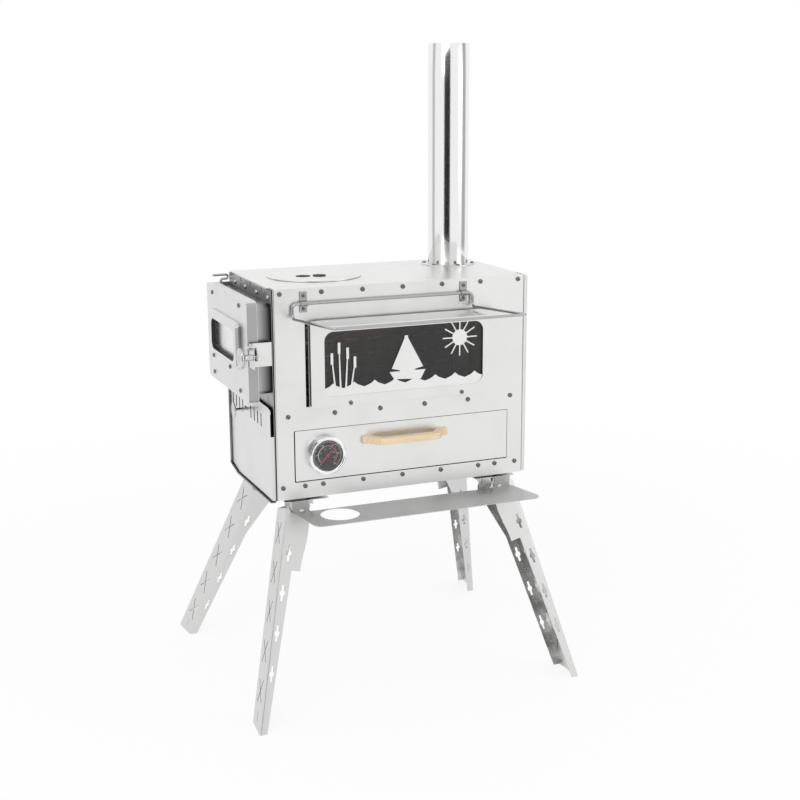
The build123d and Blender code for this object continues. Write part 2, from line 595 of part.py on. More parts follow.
def build_leg(leg):
    """Pierced channel leg folded from one sheet, cut level at the floor, a gusset on its outer flange."""
    reach = leg.length
    with BuildPart() as channel:
        with BuildSketch(leg.end_plane()) as section:
            with Locations((leg.web / 2 - 12, 0)):
                Rectangle(leg.web + 24, 2 * leg.half)
            fillet(section.vertices().sort_by(Axis.X)[-2:], radius=3)
            with Locations((leg.web / 2 - 12 - SHEET, 0)):
                Rectangle(leg.web + 24, 2 * (leg.half - SHEET), mode=Mode.SUBTRACT)
        extrude(section.sketch, amount=reach + 38)
        extrude(section.sketch, amount=-24)
        outer = -1 if leg.front else 1
        for sign in (-1, 1):
            with BuildSketch(leg.flange_plane()) as waste:
                Rectangle(300, 1000)
                with BuildSketch(leg.flange_plane(), mode=Mode.SUBTRACT):
                    with BuildLine():
                        add(flange_outline(leg, sign == outer))
                    make_face()
            toward = leg.back * sign if leg.left else leg.back * -sign
            span = leg.half + 1 if toward.dot(leg.back) * sign > 0 else leg.half + 1
            extrude(waste.sketch, amount=span, dir=leg.back * sign, mode=Mode.SUBTRACT)
        with BuildSketch(leg.flange_plane()) as pivot_hole:
            Circle(PIVOT_R + 0.06)
        extrude(pivot_hole.sketch, amount=leg.half + 1, both=True, mode=Mode.SUBTRACT)
        with BuildSketch(leg.web_plane()) as slits:
            for step in range(5):
                with Locations((0, -36 - leg.pitch * step)):
                    slit(40, 1.8, 32)
                    slit(40, 1.8, -32)
            with Locations((0, -reach + 20)):
                slit(16, 1.8, 0)
        extrude(slits.sketch, amount=-4, mode=Mode.SUBTRACT)
        with BuildSketch(leg.flange_plane()) as keyholes:
            for step in range(4):
                low = 66 + (leg.pitch + 1) * step
                wide = 26 if low < 93 else 21 - 9 * (low - 93) / (reach - 93)
                size = min(1.0, wide / 20)
                with Locations((leg.web - wide / 2 - 0.5, -low)):
                    slit(25, 4.4 * size, 0)
                    Polygon((-4.8 * size, -3), (-4.8 * size, 2), (0, 6), (4.8 * size, 2),
                            (4.8 * size, -3), (0, -5), align=None)
        extrude(keyholes.sketch, amount=leg.half + 1, both=True, mode=Mode.SUBTRACT)
        with Locations((leg.pivot.X, leg.pivot.Y, -50)):
            Box(500, 700, 100, mode=Mode.SUBTRACT)
    save(channel, leg.name)


def build_bracket(leg):
    """Bracket under the body: base plate, two ears for the pivot, and a front lip."""
    side = (14, 86) if leg.left else (BODY_W - 86, BODY_W - 14)
    depth = (0, 62) if leg.front else (166, 237)
    with BuildPart() as bracket:
        for sign in (-1, 1):
            middle = sign * (leg.half - SHEET - 0.5 - SHEET / 2)
            with BuildSketch(leg.upright_plane(middle)) as ear:
                Circle(11)
                Polygon((-11, 0), (-16, 60), (16, 60), (11, 0), align=None)
                Circle(PIVOT_R + 0.02, mode=Mode.SUBTRACT)
            extrude(ear.sketch, amount=SHEET / 2, both=True)
        with Locations((leg.pivot.X, leg.pivot.Y, pz(-5) + 60)):
            Box(300, 300, 120, mode=Mode.SUBTRACT)
        block(side, depth, (-5, -3.5))
        stud_x = 65 if leg.left else BODY_W - 65
        stud_y = 30 if leg.front else 190
        rod(stud_x, stud_y, (-6, -3), 3.1, Mode.SUBTRACT)
        if leg.front:
            lip = (22, 54) if leg.left else (BODY_W - 54, BODY_W - 22)
            block(lip, (-1.5, 0), (-17, -3.5))
    save(bracket, leg.name.replace("leg", "bracket"))


for one in LEGS:
    build_leg(one)
    build_bracket(one)

# Pivot bolts: shank through both ears and flanges, round head in front, nut behind.
with BuildPart() as pivot_bolts:
    for one in LEGS:
        start = one.half + 0.4
        with BuildSketch(Plane(origin=one.pivot - one.back * start, z_dir=one.back)) as shank:
            Circle(PIVOT_R)
        extrude(shank.sketch, amount=2 * start)
        with BuildSketch(Plane(origin=one.pivot - one.back * (start + 3), z_dir=one.back)) as head:
            Circle(4.6)
        extrude(head.sketch, amount=3)
        with BuildSketch(Plane(origin=one.pivot + one.back * start, z_dir=one.back)) as nut:
            RegularPolygon(4.6, 6)
        extrude(nut.sketch, amount=3.2)
save(pivot_bolts, "pivot_bolts")

# Bracket studs with spacers between the body and the base plates, and wing nuts below.
with BuildPart() as bracket_studs:
    for one in LEGS:
        x = 65 if one.left else BODY_W - 65
        y = 30 if one.front else 190
        rod(x, y, (-19, 0), 3)
        rod(x, y, (-3.5, 0), 7)
        far_x = 25 if one.left else BODY_W - 25
        rod(far_x, y + (20 if one.front else 0), (-3.5, 0), 5)
save(bracket_studs, "bracket_studs")

with BuildPart() as wing_nuts:
    for one in LEGS:
        x = 65 if one.left else BODY_W - 65
        y = 30 if one.front else 190
        rod(x, y, (-13, -5), 5)
        for sign in (-1, 1):
            with BuildSketch(Plane(origin=at(x - 1, y, 0), x_dir=(0, 1, 0), z_dir=(1, 0, 0))) as wing:
                Polygon((sign * 3.5, -6), (sign * 10, -12), (sign * 10, -18), (sign * 4, -12), align=None)
            extrude(wing.sketch, amount=2)
        rod(x, y, (-20, -4), 3.02, Mode.SUBTRACT)
save(wing_nuts, "wing_nuts")

# Pan-head screws on the front panel, window frame and rack clips.
FRONT_SCREWS = ([(12, 327)] + [(79.4 + 67.6 * k, 327) for k in range(6)]
                + [(21.5 + 76.9 * k, 134) for k in range(6)]
                + [(77.2 + 67.9 * k, 20) for k in range(5)] + [(10.8, 20), (47.2, 20), (378.8, 20), (416, 20)])
with BuildPart() as front_screws:
    for x, z in FRONT_SCREWS:
        rod(x, (-2.4, 0), z, 3.9)
    for x in (122, 313.5):
        rod(x, (-12, -9.7), 150, 3.5)
    for x in (49.5, 319):
        for z in (302.5, 323):
            rod(x, (-4, -1.8), z, 3)
save(front_screws, "front_screws")

with BuildPart() as end_screws:
    for y, z in ((141.4, 320.5), (77.5, 320.5), (16.5, 320.5), (201.7, 320.5)):
        rod((-3.4, -1.2), y, z, 3.9)
save(end_screws, "end_screws")

with BuildPart() as door_rivets:
    for y, z in ((205, 305), (44, 307), (205, 172), (48, 172), (208, 199), (106, 199)):
        rod((-42, -40), y, z, 3.6)
save(door_rivets, "door_rivets")

with BuildPart() as flue_screws:
    for step in range(6):
        bearing = radians(60 * step + 30)
        rod(FLUE_X + 41.5 * cos(bearing), FLUE_Y + 41.5 * sin(bearing), (BODY_H + 1.5, BODY_H + 3.7), 3.5)
save(flue_screws, "flue_screws")
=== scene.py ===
"""Looks of the tent wood stove: steel finishes, small fasteners, dial, wire, wood and glass."""

import json
import logging
import math
from dataclasses import dataclass, field
from enum import Enum
from functools import cache
from typing import Any, Callable, Sequence

import bmesh
import bpy
from mathutils import Matrix, Vector

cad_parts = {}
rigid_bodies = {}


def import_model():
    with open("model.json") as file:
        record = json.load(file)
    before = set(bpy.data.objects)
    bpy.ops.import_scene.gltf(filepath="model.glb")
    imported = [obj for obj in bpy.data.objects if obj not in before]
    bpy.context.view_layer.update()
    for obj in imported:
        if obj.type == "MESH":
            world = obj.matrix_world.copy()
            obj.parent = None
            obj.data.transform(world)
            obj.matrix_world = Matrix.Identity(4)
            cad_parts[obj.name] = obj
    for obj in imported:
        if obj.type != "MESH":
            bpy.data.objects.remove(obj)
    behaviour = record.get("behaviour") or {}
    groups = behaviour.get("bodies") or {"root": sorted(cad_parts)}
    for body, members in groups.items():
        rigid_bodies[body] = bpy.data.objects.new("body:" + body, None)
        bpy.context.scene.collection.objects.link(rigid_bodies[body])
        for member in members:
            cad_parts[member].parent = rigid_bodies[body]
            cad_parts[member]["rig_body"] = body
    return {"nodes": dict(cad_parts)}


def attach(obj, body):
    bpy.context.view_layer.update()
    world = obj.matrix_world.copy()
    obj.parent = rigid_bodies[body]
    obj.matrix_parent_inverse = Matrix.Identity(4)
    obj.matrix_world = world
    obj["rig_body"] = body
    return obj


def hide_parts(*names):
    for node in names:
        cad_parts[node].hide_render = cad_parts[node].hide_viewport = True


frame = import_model()

logging.basicConfig(level=logging.INFO, format="%(name)s: %(message)s")
LOG = logging.getLogger("stove")

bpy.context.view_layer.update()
MM = 0.001
BODY_W = 430.0
FRONT_Y = -99.9
LEG_H = 344.0
BODY_H = 334.0
FLUE_X = 372.4
FLUE_Y = 177.2
SHARP = 35.0
SAME_PLACE = 1e-6
FaceTest = Callable[[Vector, Vector], bool]


@dataclass(frozen=True)
class Tilt:
    """How a leg stands: toward front or back, degrees of lean and of splay, outward side."""

    toward: int
    lean: float
    splay: float
    out: int


LEG_TILT = {
    "leg_front_left": Tilt(-1, 16.3, 13.2, -1),
    "leg_front_right": Tilt(-1, 16.3, 13.2, 1),
    "leg_rear_left": Tilt(1, 25.7, 14.4, -1),
    "leg_rear_right": Tilt(1, 25.7, 14.4, 1),
}


def spot(x: float, y: float, z: float) -> Vector:
    """Turn body measures into a point of the frame.

    Args:
        x: millimetres from the body's left side.
        y: millimetres back from the body's front face.
        z: millimetres up from the body's underside.

    Returns:
        The point in metres.
    """
    return Vector(((x - BODY_W / 2) * MM, (y + FRONT_Y) * MM, (z + LEG_H) * MM))


def grey(level: float) -> tuple:
    """An even grey."""
    return (level, level, level)


class Axis(Enum):
    """Directions that pieces face."""

    FRONT = (0.0, -1.0, 0.0)
    LEFT = (-1.0, 0.0, 0.0)
    UP = (0.0, 0.0, 1.0)

    @property
    def vector(self) -> Vector:
        """The direction as a vector."""
        return Vector(self.value)


class Socket(Enum):
    """Types of a node group's sockets."""

    NUMBER = "NodeSocketFloat"
    WHOLE = "NodeSocketInt"
    VECTOR = "NodeSocketVector"
    COLOUR = "NodeSocketColor"
    SHAPE = "NodeSocketGeometry"
    THING = "NodeSocketObject"
    FINISH = "NodeSocketMaterial"


class Wiring:
    """Short ways to add nodes to one tree and to join them."""

    def __init__(self, tree: bpy.types.NodeTree) -> None:
        """Keep the tree."""
        self.tree = tree

    @classmethod
    def group(cls, name: str, kind: str, inputs: dict, outputs: dict) -> tuple:
        """Begin a node group with named sockets.

        Args:
            name: the group's name.
            kind: the type of its tree.
            inputs: for each input's name, its type and its default or None.
            outputs: for each output's name, its type.

        Returns:
            The group's wiring, its inputs by name and its output node.
        """
        tree = bpy.data.node_groups.new(name, kind)
        for label, (sort, value) in inputs.items():
            socket = tree.interface.new_socket(name=label, in_out="INPUT", socket_type=sort.value)
            if value is not None:
                socket.default_value = value
        for label, sort in outputs.items():
            tree.interface.new_socket(name=label, in_out="OUTPUT", socket_type=sort.value)
        wires = cls(tree)
        return wires, wires.node("NodeGroupInput").outputs, wires.node("NodeGroupOutput")

    def fill(self, node: bpy.types.Node, values: dict) -> bpy.types.Node:
        """Link or set a node's inputs.

        Args:
            node: the node.
            values: for each input's name or number, the socket to link or the value to set.

        Returns:
            The node.
        """
        for label, value in values.items():
            if isinstance(value, bpy.types.NodeSocket):
                self.tree.links.new(value, node.inputs[label])
            else:
                node.inputs[label].default_value = value
        return node

    def node(self, kind: str, values: dict | None = None, **settings: Any) -> bpy.types.Node:
        """Add a node.

        Args:
            kind: the node's type.
            values: its inputs, as for fill.
            settings: its own settings, made before its inputs.

        Returns:
            The node.
        """
        node = self.tree.nodes.new(kind)
        for label, value in settings.items():
            setattr(node, label, value)
        return self.fill(node, values or {})

    def place(self) -> bpy.types.NodeSocket:
        """The place on the piece."""
        return self.node("ShaderNodeTexCoord").outputs["Object"]

    def use(self, group: bpy.types.NodeTree, **values: Any) -> bpy.types.bpy_prop_collection:
        """Place a shared group.

        Args:
            group: the group.
            values: its inputs, with _ for a space in a name.

        Returns:
            The group's outputs by name.
        """
        named = {label.replace("_", " "): value for label, value in values.items()}
        return self.node("ShaderNodeGroup", named, node_tree=group).outputs

    def math(self, operation: str, *values: Any) -> bpy.types.NodeSocket:
        """Reckon with numbers.

        Args:
            operation: what to do.
            values: sockets or numbers.

        Returns:
            The result.
        """
        return self.node("ShaderNodeMath", dict(enumerate(values)), operation=operation).outputs[0]

    def ramp(self, value: bpy.types.NodeSocket, low: float, high: float) -> bpy.types.NodeSocket:
        """Stretch the part of a value between two limits to the run from 0 to 1.

        Args:
            value: the value.
            low: what becomes 0.
            high: what becomes 1.

        Returns:
            The stretched value.
        """
        node = self.node("ShaderNodeMapRange", {"Value": value, "From Min": low, "From Max": high})
        return node.outputs["Result"]

    def blend(self, share: bpy.types.NodeSocket, first: Any, second: Any) -> bpy.types.NodeSocket:
        """Blend two colours.

        Args:
            share: how much of the second shows.
            first: a socket or a plain colour.
            second: a socket or a plain colour.

        Returns:
            The blended colour.
        """
        values = {"Factor": share}
        for label, colour in (("A", first), ("B", second)):
            values[label] = colour if isinstance(colour, bpy.types.NodeSocket) else (*colour, 1.0)
        return self.node("ShaderNodeMix", values, data_type="RGBA").outputs["Result"]

    def bump(self, height: bpy.types.NodeSocket, strength: float,
             reach: float = 0.2) -> bpy.types.NodeSocket:
        """Turn a height into a normal.

        Args:
            height: the height.
            strength: how strongly it shows.
            reach: the full height in millimetres.

        Returns:
            The normal.
        """
        values = {"Height": height, "Strength": strength, "Distance": reach * MM}
        return self.node("ShaderNodeBump", values).outputs["Normal"]


class ShaderKit:
    """Node groups that several finishes share, each built once."""

    def __init__(self) -> None:
        """Build the groups."""
        self.grain = self._brushed_grain()
        self.marks = self._marks()
        self.edges = self._edge_wear()
        self.timber = self._timber()

    @staticmethod
    def _brushed_grain() -> bpy.types.NodeTree:
        """Fine parallel scratches stretched along one direction.

        Returns:
            The node group.
        """
        wires, given, leave = Wiring.group(
            "BrushedGrain", "ShaderNodeTree",
            {"Stretch": (Socket.VECTOR, (30.0, 900.0, 900.0)), "Strength": (Socket.NUMBER, 0.3),
             "Base Roughness": (Socket.NUMBER, 0.3), "Spread": (Socket.NUMBER, 0.1)},
            {"Roughness": Socket.NUMBER, "Height": Socket.NUMBER})
        stretch = wires.node("ShaderNodeVectorMath", {0: wires.place(), 1: given["Stretch"]},
                             operation="MULTIPLY")
        noise = wires.node("ShaderNodeTexNoise", {"Vector": stretch.outputs[0], "Scale": 1.0,
                                                  "Detail": 3.0, "Roughness": 0.6}).outputs["Fac"]
        swing = wires.math("SUBTRACT", noise, 0.5)
        rough = wires.math("MULTIPLY_ADD", swing, given["Spread"], given["Base Roughness"])
        height = wires.math("MULTIPLY", noise, given["Strength"])
        wires.fill(leave, {"Roughness": rough, "Height": height})
        return wires.tree

    @staticmethod
    def _marks() -> bpy.types.NodeTree:
        """Faint smears and handling marks, a mask that stays low nearly everywhere.

        Returns:
            The node group.
        """
        wires, given, leave = Wiring.group(
            "HandlingMarks", "ShaderNodeTree",
            {"Size": (Socket.NUMBER, 14.0), "Amount": (Socket.NUMBER, 0.5)}, {"Mask": Socket.NUMBER})
        cloud = wires.node("ShaderNodeTexNoise", {"Vector": wires.place(), "Scale": given["Size"],
                                                  "Detail": 5.0, "Distortion": 0.6})
        mask = wires.math("MULTIPLY", wires.ramp(cloud.outputs["Fac"], 0.45, 0.8), given["Amount"])
        wires.fill(leave, {"Mask": mask})
        return wires.tree

    @staticmethod
    def _edge_wear() -> bpy.types.NodeTree:
        """Mask of rubbed outer edges.

        Returns:
            The node group.
        """
        wires, given, leave = Wiring.group("EdgeWear", "ShaderNodeTree", {"Amount": (Socket.NUMBER, 0.6)},
                                           {"Mask": Socket.NUMBER})
        shape = wires.node("ShaderNodeNewGeometry")
        mask = wires.math("MULTIPLY", wires.ramp(shape.outputs["Pointiness"], 0.52, 0.62), given["Amount"])
        wires.fill(leave, {"Mask": mask})
        return wires.tree

    @staticmethod
    def _timber() -> bpy.types.NodeTree:
        """Straight pale grain along X.

        Returns:
            The node group.
        """
        wires, given, leave = Wiring.group(
            "TimberGrain", "ShaderNodeTree",
            {"Light": (Socket.COLOUR, (0.8, 0.64, 0.45, 1.0)),
             "Dark": (Socket.COLOUR, (0.5, 0.33, 0.18, 1.0)), "Contrast": (Socket.NUMBER, 0.5)},
            {"Color": Socket.COLOUR, "Height": Socket.NUMBER})
        stretch = wires.node("ShaderNodeMapping", {"Vector": wires.place(), "Scale": (18.0, 420.0, 420.0)})
        rings = wires.node("ShaderNodeTexNoise", {"Vector": stretch.outputs["Vector"], "Scale": 1.0,
                                                  "Detail": 6.0, "Distortion": 1.2}).outputs["Fac"]
        share = wires.math("MULTIPLY", wires.ramp(rings, 0.38, 0.72), given["Contrast"])
        wires.fill(leave, {"Color": wires.blend(share, given["Light"], given["Dark"]), "Height": rings})
        return wires.tree


KIT = ShaderKit()


def blank_material(name: str) -> tuple:
    """Make a material with a Principled shader only.

    Args:
        name: the material's name.

    Returns:
        The material, its wiring, the Principled node and the output node.
    """
    material = bpy.data.materials.new(name)
    material.use_nodes = True
    nodes = {node.type: node for node in material.node_tree.nodes}
    return material, Wiring(material.node_tree), nodes["BSDF_PRINCIPLED"], nodes["OUTPUT_MATERIAL"]


class Brushing(Enum):
    """Which way a sheet was brushed, as stretch factors along X, Y and Z."""

    ACROSS = (16.0, 700.0, 700.0)
    DEPTH = (700.0, 16.0, 700.0)
    UPRIGHT = (700.0, 700.0, 16.0)
    NONE = (260.0, 260.0, 260.0)


@dataclass(frozen=True)
class SteelFinish:
    """Stainless sheet or bar, brushed or polished, with handling marks.

    Where shaded holds two body x measures, painted shade darkens the colour from the first to the second.
    """

    name: str
    slot: str
    colour: tuple = (0.8, 0.8, 0.79)
    dull: tuple = (0.66, 0.66, 0.65)
    roughness: float = 0.3
    spread: float = 0.14
    relief: float = 0.12
    brushing: Brushing = Brushing.ACROSS
    marks: float = 0.35
    marks_size: float = 11.0
    wear: float = 0.0
    shaded: tuple = ()
    # recess: the near-black colour that the painted shade reaches.
    recess: tuple = grey(0.03)
    rubbed_gain: float = 1.1
    marks_roughness: float = 0.12
    depth: float = 0.25

    def shade(self, wires: Wiring, colour: bpy.types.NodeSocket) -> bpy.types.NodeSocket:
        """Paint shade along X: the colour darkens as the surface runs back into a recess.

        Args:
            wires: the material's wiring.
            colour: the plain colour.

        Returns:
            The shaded colour.
        """
        split = wires.node("ShaderNodeSeparateXYZ", {0: wires.place()})
        limits = [spot(x, 0, 0).x for x in self.shaded]
        return wires.blend(wires.ramp(split.outputs["X"], *limits), colour, self.recess)

    def material(self) -> bpy.types.Material:
        """Build the finish.

        Returns:
            The material.
        """
        material, wires, steel, _ = blank_material(self.name)
        grain = wires.use(KIT.grain, Stretch=self.brushing.value, Strength=self.relief,
                          Base_Roughness=self.roughness, Spread=self.spread)
        marks = wires.use(KIT.marks, Size=self.marks_size, Amount=self.marks)["Mask"]
        wear = wires.use(KIT.edges, Amount=self.wear)["Mask"]
        rubbed = tuple(min(1.0, part * self.rubbed_gain) for part in self.colour)
        worn = wires.blend(wear, wires.blend(marks, self.colour, self.dull), rubbed)
        rough = wires.math("MULTIPLY_ADD", marks, self.marks_roughness, grain["Roughness"])
        wires.fill(steel, {"Metallic": 1.0, "Base Color": self.shade(wires, worn) if self.shaded else worn,
                           "Roughness": rough, "Normal": wires.bump(grain["Height"], self.depth)})
        return material


@dataclass(frozen=True)
class PlainFinish:
    """Print, paint or rope: an uneven colour with a fine surface."""

    name: str
    slot: str
    colour: tuple
    dark: tuple
    roughness: float = 0.5
    grain: float = 900.0
    relief: float = 0.2
    patch: float = 6.0
    marks: float = 0.8
    spread: float = 0.1
    depth: float = 0.3

    def material(self) -> bpy.types.Material:
        """Build the finish.

        Returns:
            The material.
        """
        material, wires, coat, _ = blank_material(self.name)
        marks = wires.use(KIT.marks, Size=self.grain / self.patch, Amount=self.marks)["Mask"]
        grain = wires.use(KIT.grain, Stretch=(self.grain,) * 3, Strength=self.relief,
                          Base_Roughness=self.roughness, Spread=self.spread)
        wires.fill(coat, {"Base Color": wires.blend(marks, self.colour, self.dark),
                          "Roughness": grain["Roughness"],
                          "Normal": wires.bump(grain["Height"], self.depth)})
        return material


@dataclass(frozen=True)
class WoodFinish:
    """Pale oiled hardwood."""

    name: str
    slot: str
    light: tuple = (0.84, 0.68, 0.47)
    dark: tuple = (0.55, 0.36, 0.18)
    contrast: float = 0.55
    roughness: float = 0.45
    depth: float = 0.2
    reach: float = 0.3

    def material(self) -> bpy.types.Material:
        """Build the finish.

        Returns:
            The material.
        """
        material, wires, wood, _ = blank_material(self.name)
        timber = wires.use(KIT.timber, Light=(*self.light, 1.0), Dark=(*self.dark, 1.0),
                           Contrast=self.contrast)
        wires.fill(wood, {"Base Color": timber["Color"], "Roughness": self.roughness,
                          "Normal": wires.bump(timber["Height"], self.depth, self.reach)})
        return material


@dataclass(frozen=True)
class GlassFinish:
    """Clear pane that lets the camera and the light through."""

    name: str
    slot: str
    colour: tuple = (0.9, 0.9, 0.9)
    roughness: float = 0.02
    mirror: float = 0.0
    ior: float = 1.45
    smear_size: float = 18.0
    smears: float = 0.25
    smear_tone: float = 0.75
    smear_roughness: float = 0.2

    def material(self) -> bpy.types.Material:
        """Build the finish.

        Returns:
            The material.
        """
        material, wires, pane, _ = blank_material(self.name)
        smear = wires.use(KIT.marks, Size=self.smear_size, Amount=self.smears)["Mask"]
        smeared = tuple(part * self.smear_tone for part in self.colour)
        rough = wires.math("MULTIPLY_ADD", smear, self.smear_roughness, self.roughness)
        wires.fill(pane, {"Transmission Weight": 1.0, "IOR": self.ior, "Metallic": self.mirror,
                          "Base Color": wires.blend(smear, self.colour, smeared), "Roughness": rough})
        return material


Finish = SteelFinish | PlainFinish | WoodFinish | GlassFinish


class Palette:
    """Every finish of the stove."""

    PANEL = SteelFinish("panel_brushed", "panel_steel")
    PANEL_END = SteelFinish("end_brushed", "panel_steel", (0.74, 0.74, 0.735), brushing=Brushing.DEPTH)
    PANEL_TOP = SteelFinish("hotplate_brushed", "panel_steel", roughness=0.34)
    DOOR = SteelFinish("door_brushed", "panel_steel", (0.72, 0.72, 0.715), brushing=Brushing.UPRIGHT)
    LEG = SteelFinish("leg_brushed", "leg_steel", (0.7, 0.7, 0.695), roughness=0.36,
                      brushing=Brushing.UPRIGHT)
    # Painted shade: the shelf under the body is a darker grey than the same steel above.
    SHELF = SteelFinish("shelf_brushed", "panel_steel", (0.5, 0.5, 0.495), roughness=0.34)
    SCREEN = SteelFinish("screen_cut", "panel_steel", (0.84, 0.84, 0.83), roughness=0.34,
                         brushing=Brushing.NONE)
    INSIDE = SteelFinish("firebox_dull", "interior_steel", (0.3, 0.29, 0.28), (0.16, 0.15, 0.14), 0.5,
                         marks=0.8, wear=0.1)
    PIPE = SteelFinish("pipe_polished", "pipe_steel", grey(0.86), (0.8, 0.8, 0.79), 0.14, 0.05, 0.03,
                       Brushing.UPRIGHT, 0.15, 7.0, 0.2)
    # Painted shade: the wire's grey is darker than the same polished steel, for its dark reflections.
    WIRE_SHADE = SteelFinish("wire_painted_shade", "wire_steel", grey(0.46), grey(0.36), 0.12, 0.05, 0.02,
                       Brushing.NONE, 0.2, 30.0, 0.2)
    # Painted shade on the front-facing sides of the door, darker than the door face.
    DOOR_SHADED_SIDE = SteelFinish("door_painted_shade_side", "panel_steel", grey(0.42), grey(0.34), 0.34,
                            brushing=Brushing.DEPTH)
    # Painted shade: the end wall is a dark grey that stands in for dark reflections.
    END_WALL = SteelFinish("end_wall_shaded", "panel_steel", grey(0.36), grey(0.22), marks=0.9,
                           marks_size=30.0, brushing=Brushing.DEPTH)
    # Painted shade on the door collar: a dark grey, darkening further towards the body wall.
    COLLAR = SteelFinish("collar_shaded", "panel_steel", grey(0.42), grey(0.34),
                         brushing=Brushing.UPRIGHT, shaded=(-21.0, -3.5))
    # Painted shade: the rack clips are darker than the same steel elsewhere.
    CLIP_SHADE = SteelFinish("clip_painted_shade", "panel_steel", grey(0.4), grey(0.3), 0.16, 0.05, 0.02, Brushing.NONE)
    # Painted shade inside the legs' channels, blotched darker by the marks.
    LEG_INNER_SHADE = SteelFinish("leg_inner_painted_shade", "leg_steel", (0.66, 0.66, 0.65), grey(0.3), 0.24, marks=1.0,
                            marks_size=34.0, brushing=Brushing.UPRIGHT)
    # Painted shade: the near-black slider and guides behind the vents make the slots read dark.
    SLIDER_SHADE = SteelFinish("slider_painted_shade", "interior_steel", grey(0.05), grey(0.03), 0.6, wear=0.1)
    # Painted shade: screw heads darker than the same steel elsewhere, for their dark reflections.
    SCREW_SHADE = SteelFinish("screw_painted_shade", "fastener_steel", grey(0.2), grey(0.1), 0.1, 0.06, 0.05,
                        Brushing.NONE, 0.4, 60.0, 0.6)
    # Near-black: on leg slit walls the dark cut steel and painted shade; elsewhere painted shade only.
    CUT_EDGE_AND_SHADE = SteelFinish("cut_edge_and_painted_shade", "leg_steel", grey(0.07), grey(0.03), 0.6, 0.1, 0.1,
                           Brushing.NONE, 0.4, 60.0, 0.1)
    FASTENER = SteelFinish("fastener_bright", "fastener_steel", grey(0.6), grey(0.4), 0.14, 0.06, 0.05,
                           Brushing.NONE, 0.4, 60.0, 0.6)
    CHROME = SteelFinish("gauge_chrome", "gauge_chrome", (0.88, 0.88, 0.89), grey(0.8), 0.06, 0.02, 0.01,
                         Brushing.NONE, 0.1, 20.0, 0.1)
    DIAL = PlainFinish("dial_black", "dial_black", (0.02, 0.02, 0.024), (0.035, 0.035, 0.04), 0.55)
    POINTER = PlainFinish("pointer_red", "pointer_red", (0.42, 0.07, 0.07), (0.3, 0.05, 0.05), 0.4)
    FIGURES = PlainFinish("figure_white", "dial_black", (0.75, 0.75, 0.73), (0.6, 0.6, 0.58))
    SCALE_PALE = PlainFinish("scale_pale", "dial_black", (0.7, 0.66, 0.55), (0.55, 0.5, 0.42))
    SCALE_RED = PlainFinish("scale_red", "dial_black", (0.62, 0.2, 0.13), (0.5, 0.14, 0.1))
    ROPE = PlainFinish("rope_gasket", "rope_gasket", grey(0.1), grey(0.04), 0.9, 1600.0, 1.0)
    WOOD = WoodFinish("handle_wood", "handle_wood")
    GLASS = GlassFinish("stove_glass", "stove_glass", (0.5, 0.48, 0.46))
    DOOR_GLASS = GlassFinish("door_glass_pane", "stove_glass", grey(0.95), 0.25, 0.85)
    LENS = GlassFinish("gauge_lens", "stove_glass", grey(0.97))


@cache
def material_of(finish: Finish) -> bpy.types.Material:
    """The finish's material, built on first use."""
    return finish.material()


def placed(name: str, data: bpy.types.ID) -> bpy.types.Object:
    """Put some data into the scene as an object.

    Args:
        name: the object's name.
        data: its mesh, curve, lamp or camera.

    Returns:
        The object.
    """
    piece = bpy.data.objects.new(name, data)
    bpy.context.scene.collection.objects.link(piece)
    return piece


def settle(piece: bpy.types.Object, body: str, finish: Finish, *nodes: str) -> bpy.types.Object:
    """Dress a finished piece and tie it to the frame.

    Args:
        piece: the piece, at the origin with its place in its mesh.
        body: the CAD body that it rides on.
        finish: the finish it wears.
        nodes: CAD nodes that it stands for.

    Returns:
        The piece.
    """
    if piece.type == "MESH" and not piece.data.materials:
        piece.data.materials.append(material_of(finish))
    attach(piece, body)
    if nodes:
        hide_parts(*nodes)
    LOG.info("%s rides on %s, %d faces", piece.name, body, len(piece.data.polygons))
    return piece


def link_mesh(name: str, work: bmesh.types.BMesh, smooth_angle: float = SHARP) -> bpy.types.Object:
    """Turn a bmesh into a linked object with smooth faces and sharp corners.

    Args:
        name: the object's name.
        work: the bmesh, freed here.
        smooth_angle: edges steeper than this many degrees stay sharp.

    Returns:
        The object.
    """
    mesh = bpy.data.meshes.new(name)
    limit = math.radians(smooth_angle)
    for edge in work.edges:
        edge.smooth = len(edge.link_faces) == 2 and edge.calc_face_angle(0.0) < limit
    for face in work.faces:
        face.smooth = True
    work.to_mesh(mesh)
    work.free()
    return placed(name, mesh)


def frozen(piece: bpy.types.Object, name: str) -> bpy.types.Object:
    """Replace an object with a plain mesh of what its modifiers make.

    Args:
        piece: the source object, removed here.
        name: the new object's name.

    Returns:
        The plain mesh object.
    """
    bpy.context.view_layer.update()
    seen = piece.evaluated_get(bpy.context.evaluated_depsgraph_get())
    mesh = bpy.data.meshes.new_from_object(seen)
    mesh.transform(piece.matrix_world)
    bpy.data.objects.remove(piece)
    return placed(name, mesh)


def carved(piece: bpy.types.Object, cutters: Sequence[bpy.types.Object], name: str) -> bpy.types.Object:
    """Cut solids out of a piece.

    Args:
        piece: the piece, removed here.
        cutters: the solids, removed here.
        name: the name of what is left.

    Returns:
        The cut piece as a plain mesh.
    """
    for cutter in cutters:
        cut = piece.modifiers.new("cut", "BOOLEAN")
        cut.operation = "DIFFERENCE"
        cut.object = cutter
    rest = frozen(piece, name)
    for cutter in cutters:
        bpy.data.objects.remove(cutter)
    return rest


